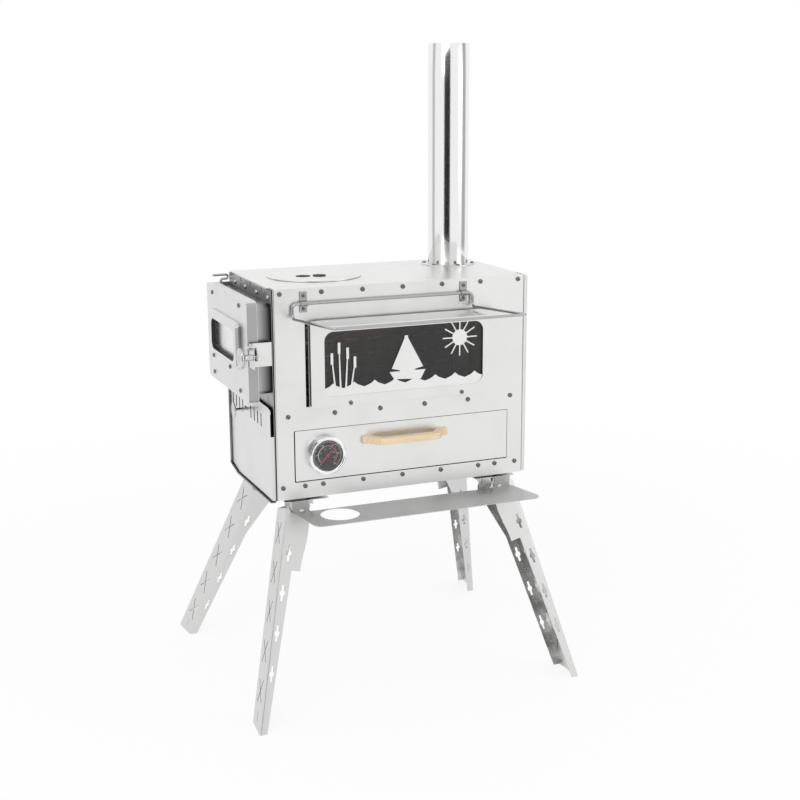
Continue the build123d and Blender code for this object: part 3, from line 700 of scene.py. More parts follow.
def lathe(name: str, profile: Sequence[tuple], centre: Vector, direction: Vector, steps: int = 64,
          smooth_angle: float = SHARP) -> bpy.types.Object:
    """Turn a profile about an axis.

    Args:
        name: the piece's name.
        profile: (radius, height) pairs in millimetres, from one end of the axis round to the other.
        centre: where the profile's zero height lies, in metres.
        direction: the axis.
        steps: facets round the axis.
        smooth_angle: edges steeper than this many degrees stay sharp.

    Returns:
        The piece.
    """
    work = bmesh.new()
    turn = direction.to_track_quat("Z", "Y").to_matrix()
    rings = []
    for radius, height in profile:
        ring = []
        for step in range(steps if radius > SAME_PLACE else 1):
            angle = 2 * math.pi * step / steps
            place = Vector((radius * math.cos(angle) * MM, radius * math.sin(angle) * MM, height * MM))
            ring.append(work.verts.new(centre + turn @ place))
        rings.append(ring)
    for low, high in zip(rings, rings[1:]):
        for step in range(steps):
            after = (step + 1) % steps
            if len(low) == 1:
                work.faces.new((low[0], high[after], high[step]))
            elif len(high) == 1:
                work.faces.new((low[step], low[after], high[0]))
            else:
                work.faces.new((low[step], low[after], high[after], high[step]))
    bmesh.ops.recalc_face_normals(work, faces=work.faces)
    return link_mesh(name, work, smooth_angle)


def join(name: str, pieces: Sequence[bpy.types.Object]) -> bpy.types.Object:
    """Join plain meshes of one material each into one object.

    Args:
        name: the joined object's name.
        pieces: the objects, removed here.

    Returns:
        The joined object.
    """
    materials: list = []
    work = bmesh.new()
    for piece in pieces:
        start = len(work.faces)
        index = 0
        if piece.data.materials:
            material = piece.data.materials[0]
            if material not in materials:
                materials.append(material)
            index = materials.index(material)
        work.from_mesh(piece.data)
        work.faces.ensure_lookup_table()
        for face in work.faces[start:]:
            face.material_index = index
        bpy.data.objects.remove(piece)
    mesh = bpy.data.meshes.new(name)
    work.to_mesh(mesh)
    work.free()
    for material in materials:
        mesh.materials.append(material)
    return placed(name, mesh)


def tube(name: str, points: Sequence[Vector], radius: float, bend: float, closed: bool = False,
         steps: int = 8) -> bpy.types.Object:
    """Round wire along straight runs with bent corners.

    Args:
        name: the piece's name.
        points: corners of the route in metres.
        radius: wire radius in millimetres.
        bend: radius of the bends in millimetres.
        closed: whether the wire joins up with itself.
        steps: straight bits in a bend.

    Returns:
        The piece.
    """
    route: list = []
    count = len(points)
    for index, corner in enumerate(points):
        if not closed and index in (0, count - 1):
            route.append(corner)
            continue
        before = (points[index - 1] - corner).normalized()
        after = (points[(index + 1) % count] - corner).normalized()
        angle = before.angle(after)
        cut = bend * MM / math.tan(angle / 2)
        start = corner + before * cut
        end = corner + after * cut
        centre = corner + (before + after).normalized() * (bend * MM / math.sin(angle / 2))
        for step in range(steps + 1):
            part = (start - centre).lerp(end - centre, step / steps).normalized()
            route.append(centre + part * bend * MM)
    curve = bpy.data.curves.new(name, "CURVE")
    curve.dimensions = "3D"
    spline = curve.splines.new("POLY")
    spline.points.add(len(route) - 1)
    for point, place in zip(spline.points, route):
        point.co = (*place, 1.0)
    spline.use_cyclic_u = closed
    curve.bevel_depth = radius * MM
    curve.bevel_resolution = 6
    curve.use_fill_caps = True
    piece = frozen(placed(name, curve), name)
    for face in piece.data.polygons:
        face.use_smooth = True
    return piece


@dataclass
class SheetWork:
    """Folded and cut sheets: each CAD sheet gets softened edges and its brushed finish.

    The values from half_turned on are cosines that tell which way a face looks.
    """

    edge: float = 0.35
    flat: float = 1.0
    slots: tuple = (((83.5, 101.5), (92.9, 130.1), 24), ((108.2, 92.6), (120, 128.7), 21))
    slot_steps: int = 12
    cutter_below: float = 12.0
    cutter_height: float = 30.0
    vents: tuple = (106.0, 134.0)
    panel_edge: float = 1.5
    window_reach: float = 5.0
    half_turned: float = 0.5
    turned: float = 0.7
    square: float = 0.9
    slanting: float = 0.3
    level: float = 0.1
    dressed: dict = field(default_factory=dict)

    def __post_init__(self) -> None:
        """List which finish each sheet wears."""
        corners = ("front_left", "front_right", "rear_left", "rear_right")
        groups = {
            Palette.PANEL: ("front_panel", "window_frame", "drawer_front", "latch_keeper",
                            *(f"bracket_{corner}" for corner in corners)),
            Palette.PANEL_TOP: ("top_plate", "body_shell", "hotplate_lid"),
            Palette.PANEL_END: ("left_end_cover", "right_end_cover", "hinge_leaf", "door_knuckles"),
            Palette.END_WALL: ("left_end_wall",),
            Palette.COLLAR: ("door_collar",),
            Palette.CLIP_SHADE: ("rack_clips",),
            Palette.SLIDER_SHADE: ("slider_guides", "air_slider"),
            Palette.DOOR: ("door_pan", "door_window_frame", "door_liner", "door_ear"),
            Palette.LEG: tuple(f"leg_{corner}" for corner in corners),
            Palette.SHELF: ("shelf",),
            Palette.SCREEN: ("window_screen",),
            Palette.INSIDE: ("firebox_floor", "grate", "rear_liner", "baffle", "door_glass_clamp",
                             "drawer_box", "drawer_runners"),
            Palette.ROPE: ("window_gasket",),
        }
        for finish, nodes in groups.items():
            self.dressed.update(dict.fromkeys(nodes, finish))

    def soften(self, node: str, finish: Finish) -> bpy.types.Object:
        """Copy a CAD sheet and round its edges a little.

        Args:
            node: the CAD node.
            finish: what it wears.

        Returns:
            The new piece.
        """
        work = self.welded(frame["nodes"][node].data, whole=node != "drawer_front")
        if node == "hotplate_lid":
            work = self.slotted(work)
        others = self.other_finishes(node, work)
        work.normal_update()
        for face in work.faces:
            for index, (_, belongs) in enumerate(others, 1):
                if belongs(face.normal, face.calc_center_median()):
                    face.material_index = index
        piece = link_mesh(f"{node}_sheet", work)
        for worn in (finish, *(other for other, _ in others)):
            piece.data.materials.append(material_of(worn))
        bevel = piece.modifiers.new("soft_edges", "BEVEL")
        bevel.width = self.edge * MM
        bevel.segments = 2
        bevel.limit_method = "ANGLE"
        bevel.angle_limit = math.radians(SHARP)
        bevel.harden_normals = True
        bevel.use_clamp_overlap = True
        return frozen(piece, f"{node}_sheet")

    def welded(self, mesh: bpy.types.Mesh, whole: bool = True) -> bmesh.types.BMesh:
        """Copy a mesh with its vertices merged.

        Args:
            mesh: the mesh to copy.
            whole: whether the triangles of a flat face become one face.

        Returns:
            The copy.
        """
        work = bmesh.new()
        work.from_mesh(mesh)
        bmesh.ops.remove_doubles(work, verts=work.verts, dist=SAME_PLACE)
        if whole:
            bmesh.ops.dissolve_limit(work, angle_limit=math.radians(self.flat), verts=work.verts,
                                     edges=work.edges)
        return work

    def slotted(self, work: bmesh.types.BMesh) -> bmesh.types.BMesh:
        """Cut the pair of lifting slots through the hotplate lid.

        Args:
            work: the whole lid, freed here.

        Returns:
            The cut lid.
        """
        cutters = [self.slot_cutter(*slot) for slot in self.slots]
        lid = carved(link_mesh("lid_uncut", work), cutters, "lid_cut")
        result = self.welded(lid.data)
        bpy.data.objects.remove(lid)
        return result

    def slot_cutter(self, start: tuple, end: tuple, width: float) -> bpy.types.Object:
        """Make the solid that cuts one lifting slot.

        Args:
            start: body x and y of one end of the slot.
            end: body x and y of its other end.
            width: the slot's width in millimetres.

        Returns:
            The cutter.
        """
        run = spot(*end, BODY_H) - spot(*start, BODY_H)
        middle = (spot(*start, BODY_H) + spot(*end, BODY_H)) / 2
        turn = Matrix.Rotation(math.atan2(run.y, run.x), 3, "Z")
        radius = width * MM / 2
        work = bmesh.new()
        rim = []
        for side, first in ((1, -90), (-1, 90)):
            for step in range(self.slot_steps + 1):
                angle = math.radians(first + 180 * step / self.slot_steps)
                place = Vector((side * (run.length / 2 - radius) + radius * math.cos(angle),
                                radius * math.sin(angle), -self.cutter_below * MM))
                rim.append(work.verts.new(middle + turn @ place))
        raised = bmesh.ops.extrude_face_region(work, geom=[work.faces.new(rim)])["geom"]
        moved = [item for item in raised if isinstance(item, bmesh.types.BMVert)]
        bmesh.ops.translate(work, vec=(0, 0, self.cutter_height * MM), verts=moved)
        bmesh.ops.recalc_face_normals(work, faces=work.faces)
        return link_mesh("lid_cutter", work)

    def other_finishes(self, node: str, work: bmesh.types.BMesh) -> list[tuple[Finish, FaceTest]]:
        """Which faces of a sheet wear something else than its main finish.

        Args:
            node: the CAD node.
            work: its mesh.

        Returns:
            Pairs of a finish and a test of a face's normal and middle; a later test wins.
        """
        if node in LEG_TILT:
            return self.leg_finishes(LEG_TILT[node], work)
        # Painted shade on faces that look to the front.
        door_painted_shade_side = (Palette.DOOR_SHADED_SIDE, lambda way, place: way.y < -self.turned)
        if node == "door_pan":
            return [door_painted_shade_side]
        if node == "door_window_frame":
            middle = sum((vert.co for vert in work.verts), Vector()) / len(work.verts)
            reach = -self.window_reach * MM
            # Painted shade on the front-facing side and on the inner walls of the opening.
            return [door_painted_shade_side, (Palette.CUT_EDGE_AND_SHADE, lambda way, place: abs(way.x) < self.slanting
                                and way.dot(place - middle) < reach)]
        if node == "front_panel":
            # Painted shade on the panel's left return, dark like a shadow gap.
            edge = spot(self.panel_edge, 0, 0).x
            return [(Palette.CUT_EDGE_AND_SHADE, lambda way, place: way.x < -self.half_turned and place.x < edge)]
        if node == "left_end_cover":
            # Painted shade on the walls of the vents.
            low, high = (spot(0, 0, height).z for height in self.vents)
            return [(Palette.CUT_EDGE_AND_SHADE,
                     lambda way, place: abs(way.x) < self.half_turned and low < place.z < high)]
        return []

    def leg_finishes(self, tilt: Tilt, work: bmesh.types.BMesh) -> list[tuple[Finish, FaceTest]]:
        """Painted shade in a leg's channel; dark walls of its crossed slits: cut steel and painted shade.

        Args:
            tilt: how the leg stands.
            work: its mesh.

        Returns:
            As other_finishes.
        """
        lean, splay = math.radians(tilt.lean), math.radians(tilt.splay)
        out = Vector((tilt.out, 0, 0))
        down = Vector((0, tilt.toward * math.sin(lean), -math.cos(lean)))
        back = Vector((0, math.cos(lean), tilt.toward * math.sin(lean)))
        face = out * math.cos(splay) - down * math.sin(splay)
        along = down * math.cos(splay) + out * math.sin(splay)
        across = [vert.co.dot(back) for vert in work.verts]
        middle = (min(across) + max(across)) / 2

        def inside(way: Vector, place: Vector) -> bool:
            """Whether a face looks into the channel."""
            inward = way.dot(back) * (place.dot(back) - middle) < 0
            return way.dot(face) < -self.square or (abs(way.dot(back)) > self.square and inward)

        def slit_wall(way: Vector, place: Vector) -> bool:
            """Whether a face is the wall of a crossed slit."""
            slants = min(abs(way.dot(back)), abs(way.dot(along))) > self.slanting
            return abs(way.dot(face)) < self.level and slants

        return [(Palette.LEG_INNER_SHADE, inside), (Palette.CUT_EDGE_AND_SHADE, slit_wall)]

    def build(self) -> None:
        """Dress every listed sheet."""
        for node, finish in self.dressed.items():
            settle(self.soften(node, finish), frame["nodes"][node]["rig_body"], finish, node)


@dataclass
class FluePipe:
    """Polished pipe, its collar on the hotplate."""

    outside: float = 35.0
    bore: float = 34.05
    socket: float = 34.3
    seat: float = 33.0
    foot: float = 1.8
    top: float = 369.0
    socket_depth: float = 45.0
    ring: float = 33.97
    flange: float = 47.5

    def build(self) -> None:
        """Turn the pipe and the collar."""
        base = spot(FLUE_X, FLUE_Y, BODY_H)
        step = self.top - self.socket_depth
        wall = [(self.outside, height) for height in (2.2, 60, 180, 300, self.top - 0.3)]
        profile = [(self.bore, self.foot), (self.outside - 0.2, self.foot), *wall,
                   (self.outside - 0.2, self.top), (self.socket + 0.1, self.top),
                   (self.socket, self.top - 0.2), (self.socket, step), (self.seat, step),
                   (self.seat, step - 3), (self.bore, step - 3), (self.bore, self.foot)]
        pipe = lathe("flue_pipe_wall", profile, base, Axis.UP.vector, 128)
        settle(pipe, "flue", Palette.PIPE, "flue_pipe")
        collar = [(self.seat, 0), (self.flange - 0.3, 0), (self.flange, 0.3), (self.flange, 1.2),
                  (self.flange - 0.3, 1.5), (36.4, 1.5), (36.0, 1.6), (self.ring, 1.6), (self.ring, 41.6),
                  (33.7, 42), (33.2, 42), (self.seat, 41.8), (self.seat, 0)]
        ring = lathe("flue_collar_ring", collar, base, Axis.UP.vector, 96)
        settle(ring, "stove_body", Palette.PANEL_TOP, "flue_collar")


@dataclass(frozen=True)
class Row:
    """A level row of screws on the front: first x, spacing, count and height."""

    first: float
    spacing: float
    count: int
    height: float

    def places(self, y: float = 0.0) -> list[Vector]:
        """The screws' seats, y behind the front face."""
        return [spot(self.first + self.spacing * k, y, self.height) for k in range(self.count)]


@dataclass
class ScrewWork:
    """Pan-head screws and rivets, instanced from one head by Geometry Nodes.

    The head's outline is in thousandths of its width; its cross recess is in widths.
    """

    seed: int = 7
    outline: tuple = ((0.0, -20), (430, -20), (492, -6), (500, 30), (497, 110), (470, 180), (410, 240),
                      (300, 285), (150, 305), (0.0, 310))
    recess: tuple = (0.52, 0.11, 0.3)
    recess_height: float = 0.29
    panel_head: float = 7.8
    window_head: float = 7.0
    clip_head: float = 6.0
    flue_head: float = 7.0
    door_head: float = 7.2
    panel_rows: tuple = (Row(12, 0, 1, 327), Row(79.4, 67.6, 6, 327), Row(21.5, 76.9, 6, 134),
                         Row(77.2, 67.9, 5, 20), Row(10.8, 36.4, 2, 20), Row(378.8, 37.2, 2, 20))
    window_row: Row = Row(122, 191.5, 2, 150)
    window_y: float = -9.7
    clip_x: tuple = (49.5, 319)
    clip_z: tuple = (302.5, 323)
    clip_y: float = -1.8
    end_x: float = -1.2
    end_y: tuple = (16.5, 77.5, 141.4, 201.7)
    end_z: float = 320.5
    flue_ring: float = 41.5
    flange: float = 1.5
    door_x: float = -40.0
    door_places: tuple = ((205, 305), (44, 307), (205, 172), (48, 172), (208, 199), (106, 199))

    def head(self) -> bpy.types.Object:
        """A pan head one unit across with a cross recess, its seat at zero height.

        Returns:
            The head.
        """
        body = lathe("screw_head", self.outline, Vector(), Axis.UP.vector, 28, 50)
        cutters = []
        for turn in (0, 90):
            work = bmesh.new()
            bmesh.ops.create_cube(work, size=1.0)
            bmesh.ops.scale(work, vec=self.recess, verts=work.verts)
            bmesh.ops.translate(work, vec=(0, 0, self.recess_height), verts=work.verts)
            bmesh.ops.rotate(work, cent=(0, 0, 0), matrix=Matrix.Rotation(math.radians(turn), 3, "Z"),
                             verts=work.verts)
            cutters.append(link_mesh(f"recess_{turn}", work))
        return carved(body, cutters, "screw_head_cut")

    def tree(self) -> bpy.types.NodeTree:
        """Geometry Nodes tree: a head on every point, facing its own way, turned at random.

        Returns:
            The node tree.
        """
        wires, given, leave = Wiring.group(
            "HeadsOnPoints", "GeometryNodeTree",
            {"Points": (Socket.SHAPE, None), "Head": (Socket.THING, None),
             "Diameter": (Socket.NUMBER, 0.008), "Seed": (Socket.WHOLE, self.seed),
             "Finish": (Socket.FINISH, None)},
            {"Heads": Socket.SHAPE})
        source = wires.node("GeometryNodeObjectInfo", {"Object": given["Head"], "As Instance": True})
        facing = wires.node("GeometryNodeInputNamedAttribute", {"Name": "facing"},
                            data_type="FLOAT_VECTOR")
        aim = wires.node("FunctionNodeAlignRotationToVector", {"Vector": facing.outputs["Attribute"]},
                         axis="Z")
        chance = wires.node("FunctionNodeRandomValue", {"Min": (0, 0, 0), "Max": (0, 0, math.tau),
                                                        "Seed": given["Seed"]}, data_type="FLOAT_VECTOR")
        twist = wires.node("FunctionNodeRotateRotation", {"Rotation": aim.outputs["Rotation"],
                                                          "Rotate By": chance.outputs["Value"]},
                           rotation_space="LOCAL")
        size = wires.node("ShaderNodeCombineXYZ", {axis: given["Diameter"] for axis in range(3)})
        spread = wires.node("GeometryNodeInstanceOnPoints", {
            "Points": given["Points"], "Instance": source.outputs["Geometry"],
            "Rotation": twist.outputs["Rotation"], "Scale": size.outputs["Vector"]})
        real = wires.node("GeometryNodeRealizeInstances", {"Geometry": spread.outputs["Instances"]})
        paint = wires.node("GeometryNodeSetMaterial", {"Geometry": real.outputs["Geometry"],
                                                       "Material": given["Finish"]})
        wires.fill(leave, {"Heads": paint.outputs["Geometry"]})
        return wires.tree

    def scatter(self, tree: bpy.types.NodeTree, head: bpy.types.Object, name: str, spots: Sequence[Vector],
                facing: Axis, diameter: float, finish: Finish = Palette.SCREW_SHADE) -> bpy.types.Object:
        """Put heads on a set of points.

        Args:
            tree: the node tree.
            head: the head mesh.
            name: the new piece's name.
            spots: seats of the heads, in metres.
            facing: the way the heads point.
            diameter: head diameter in millimetres.
            finish: what they wear.

        Returns:
            The heads as one plain mesh.
        """
        mesh = bpy.data.meshes.new(name)
        mesh.from_pydata([tuple(place) for place in spots], [], [])
        for item in mesh.attributes.new("facing", "FLOAT_VECTOR", "POINT").data:
            item.vector = facing.vector
        holder = placed(name, mesh)
        work = holder.modifiers.new("heads", "NODES")
        work.node_group = tree
        values = {"Head": head, "Diameter": diameter * MM, "Seed": self.seed,
                  "Finish": material_of(finish)}
        for item in tree.interface.items_tree:
            if item.item_type == "SOCKET" and item.in_out == "INPUT" and item.name in values:
                work[item.identifier] = values[item.name]
        piece = frozen(holder, name)
        piece.data.materials.clear()
        piece.data.materials.append(material_of(finish))
        attribute = piece.data.attributes.get("facing")
        if attribute:
            piece.data.attributes.remove(attribute)
        return piece

    def build(self) -> None:
        """Make every group of heads."""
        head, tree = self.head(), self.tree()
        rows = [place for row in self.panel_rows for place in row.places()]
        clips = [spot(x, self.clip_y, z) for x in self.clip_x for z in self.clip_z]
        window = self.window_row.places(self.window_y)
        front = [self.scatter(tree, head, "panel_heads", rows, Axis.FRONT, self.panel_head),
                 self.scatter(tree, head, "window_heads", window, Axis.FRONT, self.window_head),
                 self.scatter(tree, head, "clip_heads", clips, Axis.FRONT, self.clip_head)]
        settle(join("front_screw_heads", front), "stove_body", Palette.SCREW_SHADE, "front_screws")
        seats = [spot(self.end_x, y, self.end_z) for y in self.end_y]
        ends = self.scatter(tree, head, "end_screw_heads", seats, Axis.LEFT, self.panel_head,
                            Palette.FASTENER)
        settle(ends, "stove_body", Palette.FASTENER, "end_screws")
        bearings = [math.radians(60 * k + 30) for k in range(6)]
        around = [spot(FLUE_X + self.flue_ring * math.cos(bearing),
                       FLUE_Y + self.flue_ring * math.sin(bearing), BODY_H + self.flange)
                  for bearing in bearings]
        flue = self.scatter(tree, head, "flue_screw_heads", around, Axis.UP, self.flue_head)
        settle(flue, "stove_body", Palette.SCREW_SHADE, "flue_screws")
        places = [spot(self.door_x, y, z) for y, z in self.door_places]
        door = self.scatter(tree, head, "door_screw_heads", places, Axis.LEFT, self.door_head)
        settle(door, "fire_door", Palette.SCREW_SHADE, "door_rivets")
        bpy.data.objects.remove(head)


@dataclass
class Thermometer:
    """Chrome-rimmed oven thermometer with a printed dial and a red pointer.

    Depths are in front of the drawer front, bearings clockwise from the top of the dial. Each scale
    holds its first bearing, the step between figures, their radius and size, and what a step counts.
    """

    x: float = 81.6
    z: float = 68.5
    rim: float = 30.5
    face: float = 24.5
    dial: float = 24.1
    steps: int = 96
    print_depth: float = 10.08
    sweep: float = 140.0
    band: tuple = (14.6, 16.0)
    pale_end: float = -20.0
    red_start: float = -18.0
    ticks: int = 55
    tick_half: float = 0.8
    tick_radii: tuple = (20.4, 21.4, 23.0)
    figures: int = 6
    scales: tuple = ((-140, 56, 18.2, 3.3, 100), (-112, 44.8, 11.6, 2.7, 50))
    hand: tuple = ((-13.4, -10.8), (-10.8, -13.4), (1.3, -1.0), (15.3, 14.9), (14.9, 15.3), (-1.0, 1.3))
    hub: tuple = ((1.6, 10.85), (3.0, 10.85), (3.0, 11.5), (2.6, 11.6), (1.6, 11.6), (1.6, 10.85))
    hand_depth: float = 10.9
    hand_thick: float = 0.5

    def flat(self, name: str, work: bmesh.types.BMesh, depth: float) -> bpy.types.Object:
        """Place a drawing made in millimetres on the dial.

        Args:
            name: the piece's name.
            work: drawing in X and Y, Y up the dial.
            depth: millimetres in front of the drawer front.

        Returns:
            The piece.
        """
        for vert in work.verts:
            x, y, lift = vert.co
            vert.co = spot(self.x + x, -depth - lift, self.z + y)
        return link_mesh(name, work)

    def arc(self, name: str, radii: Sequence[float], start: float, end: float,
            finish: Finish) -> bpy.types.Object:
        """Printed band between two bearings.

        Args:
            name: the piece's name.
            radii: inner and outer radius.
            start: first bearing.
            end: last bearing.
            finish: its print colour.

        Returns:
            The piece.
        """
        work = bmesh.new()
        steps = max(2, int(abs(end - start) / 3))
        last = None
        for step in range(steps + 1):
            angle = math.radians(start + (end - start) * step / steps)
            pair = [work.verts.new((r * math.sin(angle), r * math.cos(angle), 0)) for r in radii]
            if last:
                work.faces.new((last[0], last[1], pair[1], pair[0]))
            last = pair
        bmesh.ops.recalc_face_normals(work, faces=work.faces)
        piece = self.flat(name, work, self.print_depth)
        for face in piece.data.polygons:
            if face.normal.y > 0:
                face.flip()
        piece.data.materials.append(material_of(finish))
        return piece

    def figure(self, text: str, bearing: float, radius: float, size: float) -> bpy.types.Object:
        """One number printed on the dial.

        Args:
            text: the number.
            bearing: where it stands round the dial.
            radius: millimetres from the centre.
            size: letter size in millimetres.

        Returns:
            The piece.
        """
        curve = bpy.data.curves.new("figure", "FONT")
        curve.body = text
        curve.size = size
        curve.align_x = "CENTER"
        curve.align_y = "CENTER"
        piece = frozen(placed("figure", curve), f"figure_{text}")
        angle = math.radians(bearing)
        for vert in piece.data.vertices:
            x, y, _ = vert.co
            vert.co = spot(self.x + x + radius * math.sin(angle), -self.print_depth,
                           self.z + y + radius * math.cos(angle))
        piece.data.materials.clear()
        piece.data.materials.append(material_of(Palette.FIGURES))
        return piece

    def prints(self) -> bpy.types.Object:
        """Bands, ticks and figures of both scales.

        Returns:
            The prints as one piece.
        """
        bands = [self.arc("scale_pale", self.band, -self.sweep, self.pale_end, Palette.SCALE_PALE),
                 self.arc("scale_red", self.band, self.red_start, self.sweep, Palette.SCALE_RED)]
        long_start, short_start, end = self.tick_radii
        marks = []
        for step in range(self.ticks + 1):
            bearing = -self.sweep + 2 * self.sweep * step / self.ticks
            radii = (short_start if step % 5 else long_start, end)
            marks.append(self.arc(f"tick_{step}", radii, bearing - self.tick_half,
                                  bearing + self.tick_half, Palette.FIGURES))
        for first, gap, radius, size, worth in self.scales:
            for step in range(self.figures):
                marks.append(self.figure(str(worth * step), first + gap * step, radius, size))
        return join("gauge_prints", bands + marks)

    def pointer(self) -> bpy.types.Object:
        """Red hand with a long tail, on a small hub.

        Returns:
            The hand with its hub.
        """
        work = bmesh.new()
        bottom = [work.verts.new((x, y, 0)) for x, y in self.hand]
        top = [work.verts.new((x, y, self.hand_thick)) for x, y in self.hand]
        work.faces.new(bottom)
        work.faces.new(top)
        for index in range(len(bottom)):
            after = (index + 1) % len(bottom)
            work.faces.new((bottom[index], bottom[after], top[after], top[index]))
        bmesh.ops.recalc_face_normals(work, faces=work.faces)
        hand = self.flat("hand", work, self.hand_depth)
        hub = lathe("hub", self.hub, spot(self.x, 0, self.z), Axis.FRONT.vector, 32)
        return join("gauge_hand", [hand, hub])

    def build(self) -> None:
        """Make the case, dial, prints, pointer and lens."""
        centre = spot(self.x, 0, self.z)
        way = Axis.FRONT.vector
        case = [(0.0, -60), (2.6, -60), (3.0, -59.4), (3.0, 0), (27.6, 0), (28, 0.4), (28, 9.2),
                (29.6, 10.2), (30.4, 11.4), (self.rim, 12.6), (30.2, 14.0), (29.2, 14.8), (27.9, 15),
                (26.4, 14.7), (25.2, 13.8), (self.face, 12.6), (self.face, 9), (0.0, 9)]
        body = lathe("gauge_case_turned", case, centre, way, self.steps)
        settle(body, "drawer", Palette.CHROME, "gauge_case")
        plate = [(0.0, 9.05), (self.dial, 9.05), (self.dial, 9.95), (self.dial - 0.2, 10), (0.0, 10)]
        dial = lathe("gauge_dial_plate", plate, centre, way, self.steps)
        settle(dial, "drawer", Palette.DIAL, "gauge_dial")
        settle(self.prints(), "drawer", Palette.FIGURES)
        settle(self.pointer(), "pointer", Palette.POINTER, "gauge_pointer")
        glass = [(0.0, 13.6), (20, 13.3), (24.3, 12.7), (24.3, 13.1), (20, 13.7), (0.0, 14.0)]
        settle(lathe("gauge_lens_disc", glass, centre, way, self.steps), "drawer", Palette.LENS)


@dataclass
class WireWork:
    """Swinging rack and hinge pin, bent from round wire."""

    left: float = 30.4
    right: float = 333.4
    radius: float = 2.25
    bend: float = 7.0
    rack_y: float = -5.6
    rack_z: tuple = (311.0, 288.5, 304.0)
    reach: float = -192.0
    pin_radius: float = 2.0
    pin_bend: float = 3.0
    pin_y: float = 246.0
    pin_route: tuple = ((-14, 156), (-14, 320), (-2, 320), (-2, 327), (-27.5, 327))

    def build(self) -> None:
        """Bend the wires."""
        top, low, tip = self.rack_z
        corners = []
        for x in (self.left, self.right):
            run = [spot(x, self.rack_y, top), spot(x, self.rack_y, low), spot(x, self.reach, tip)]
            corners += run if x == self.left else run[::-1]
        rack = tube("rack_wire", corners, self.radius, self.bend, closed=True)
        settle(rack, "rack", Palette.WIRE_SHADE, "wire_rack")
        pin = tube("hinge_pin_wire", [spot(x, self.pin_y, z) for x, z in self.pin_route],
                   self.pin_radius, self.pin_bend)
        settle(pin, "stove_body", Palette.WIRE_SHADE, "hinge_pin")


@dataclass
class Knobs:
    """Turned knobs of the latch and the air slider, their profiles out from the body's left side."""

    latch_y: float = -22.5
    latch_z: float = 237.5
    cam_offset: float = 4.0
    air_y: float = 137.5
    air_z: float = 120.0
    grip: tuple = ((0.0, 39.3), (5.0, 39.3), (5.0, 50), (6.4, 52.6), (10, 56.5), (14.8, 56.5),
                   (15.7, 56.8), (16, 57.5), (16, 59), (15.7, 59.7), (14.8, 60), (6, 60), (5.4, 59.7),
                   (0.0, 59.7))
    shaft: tuple = ((0.0, 34.6), (2.5, 34.6), (2.5, 39.3), (0.0, 39.3))
    cam: tuple = ((0.0, 32.6), (10.3, 32.6), (10.5, 32.8), (10.5, 34.4), (10.3, 34.6), (0.0, 34.6))
    air: tuple = ((0.0, 4.2), (2.4, 4.2), (2.4, 26.4), (4.2, 27), (11.6, 27), (12.3, 27.4), (12.5, 28.1),
                  (12.3, 29), (11.5, 29.5), (0.0, 29.5))

    def build(self) -> None:
        """Turn both knobs."""
        centre = spot(0, self.latch_y, self.latch_z)
        way = Axis.LEFT.vector
        cam_centre = spot(0, self.latch_y, self.latch_z + self.cam_offset)
        latch = [lathe("latch_grip", self.grip, centre, way, 72),
                 lathe("latch_shaft", self.shaft, centre, way, 32),
                 lathe("latch_cam", self.cam, cam_centre, way, 48)]
        settle(join("latch_turned", latch), "latch", Palette.FASTENER, "latch_knob")
        slide = lathe("air_grip", self.air, spot(0, self.air_y, self.air_z), way, 56)
        settle(slide, "air_control", Palette.FASTENER, "air_knob")


@dataclass
class CarriedNodes:
    """CAD nodes whose shape is right: they keep it and get a finish."""

    fasteners: tuple = ("pivot_bolts", "bracket_studs", "wing_nuts")

    def build(self) -> None:
        """Assign the finishes."""
        finishes = {"drawer_handle": Palette.WOOD, "door_glass": Palette.DOOR_GLASS,
                    "window_glass": Palette.GLASS, **dict.fromkeys(self.fasteners, Palette.FASTENER)}
        for node, finish in finishes.items():
            mesh = frame["nodes"][node].data
            mesh.materials.clear()
            mesh.materials.append(material_of(finish))
            LOG.info("%s keeps its CAD shape in %s", node, finish.name)


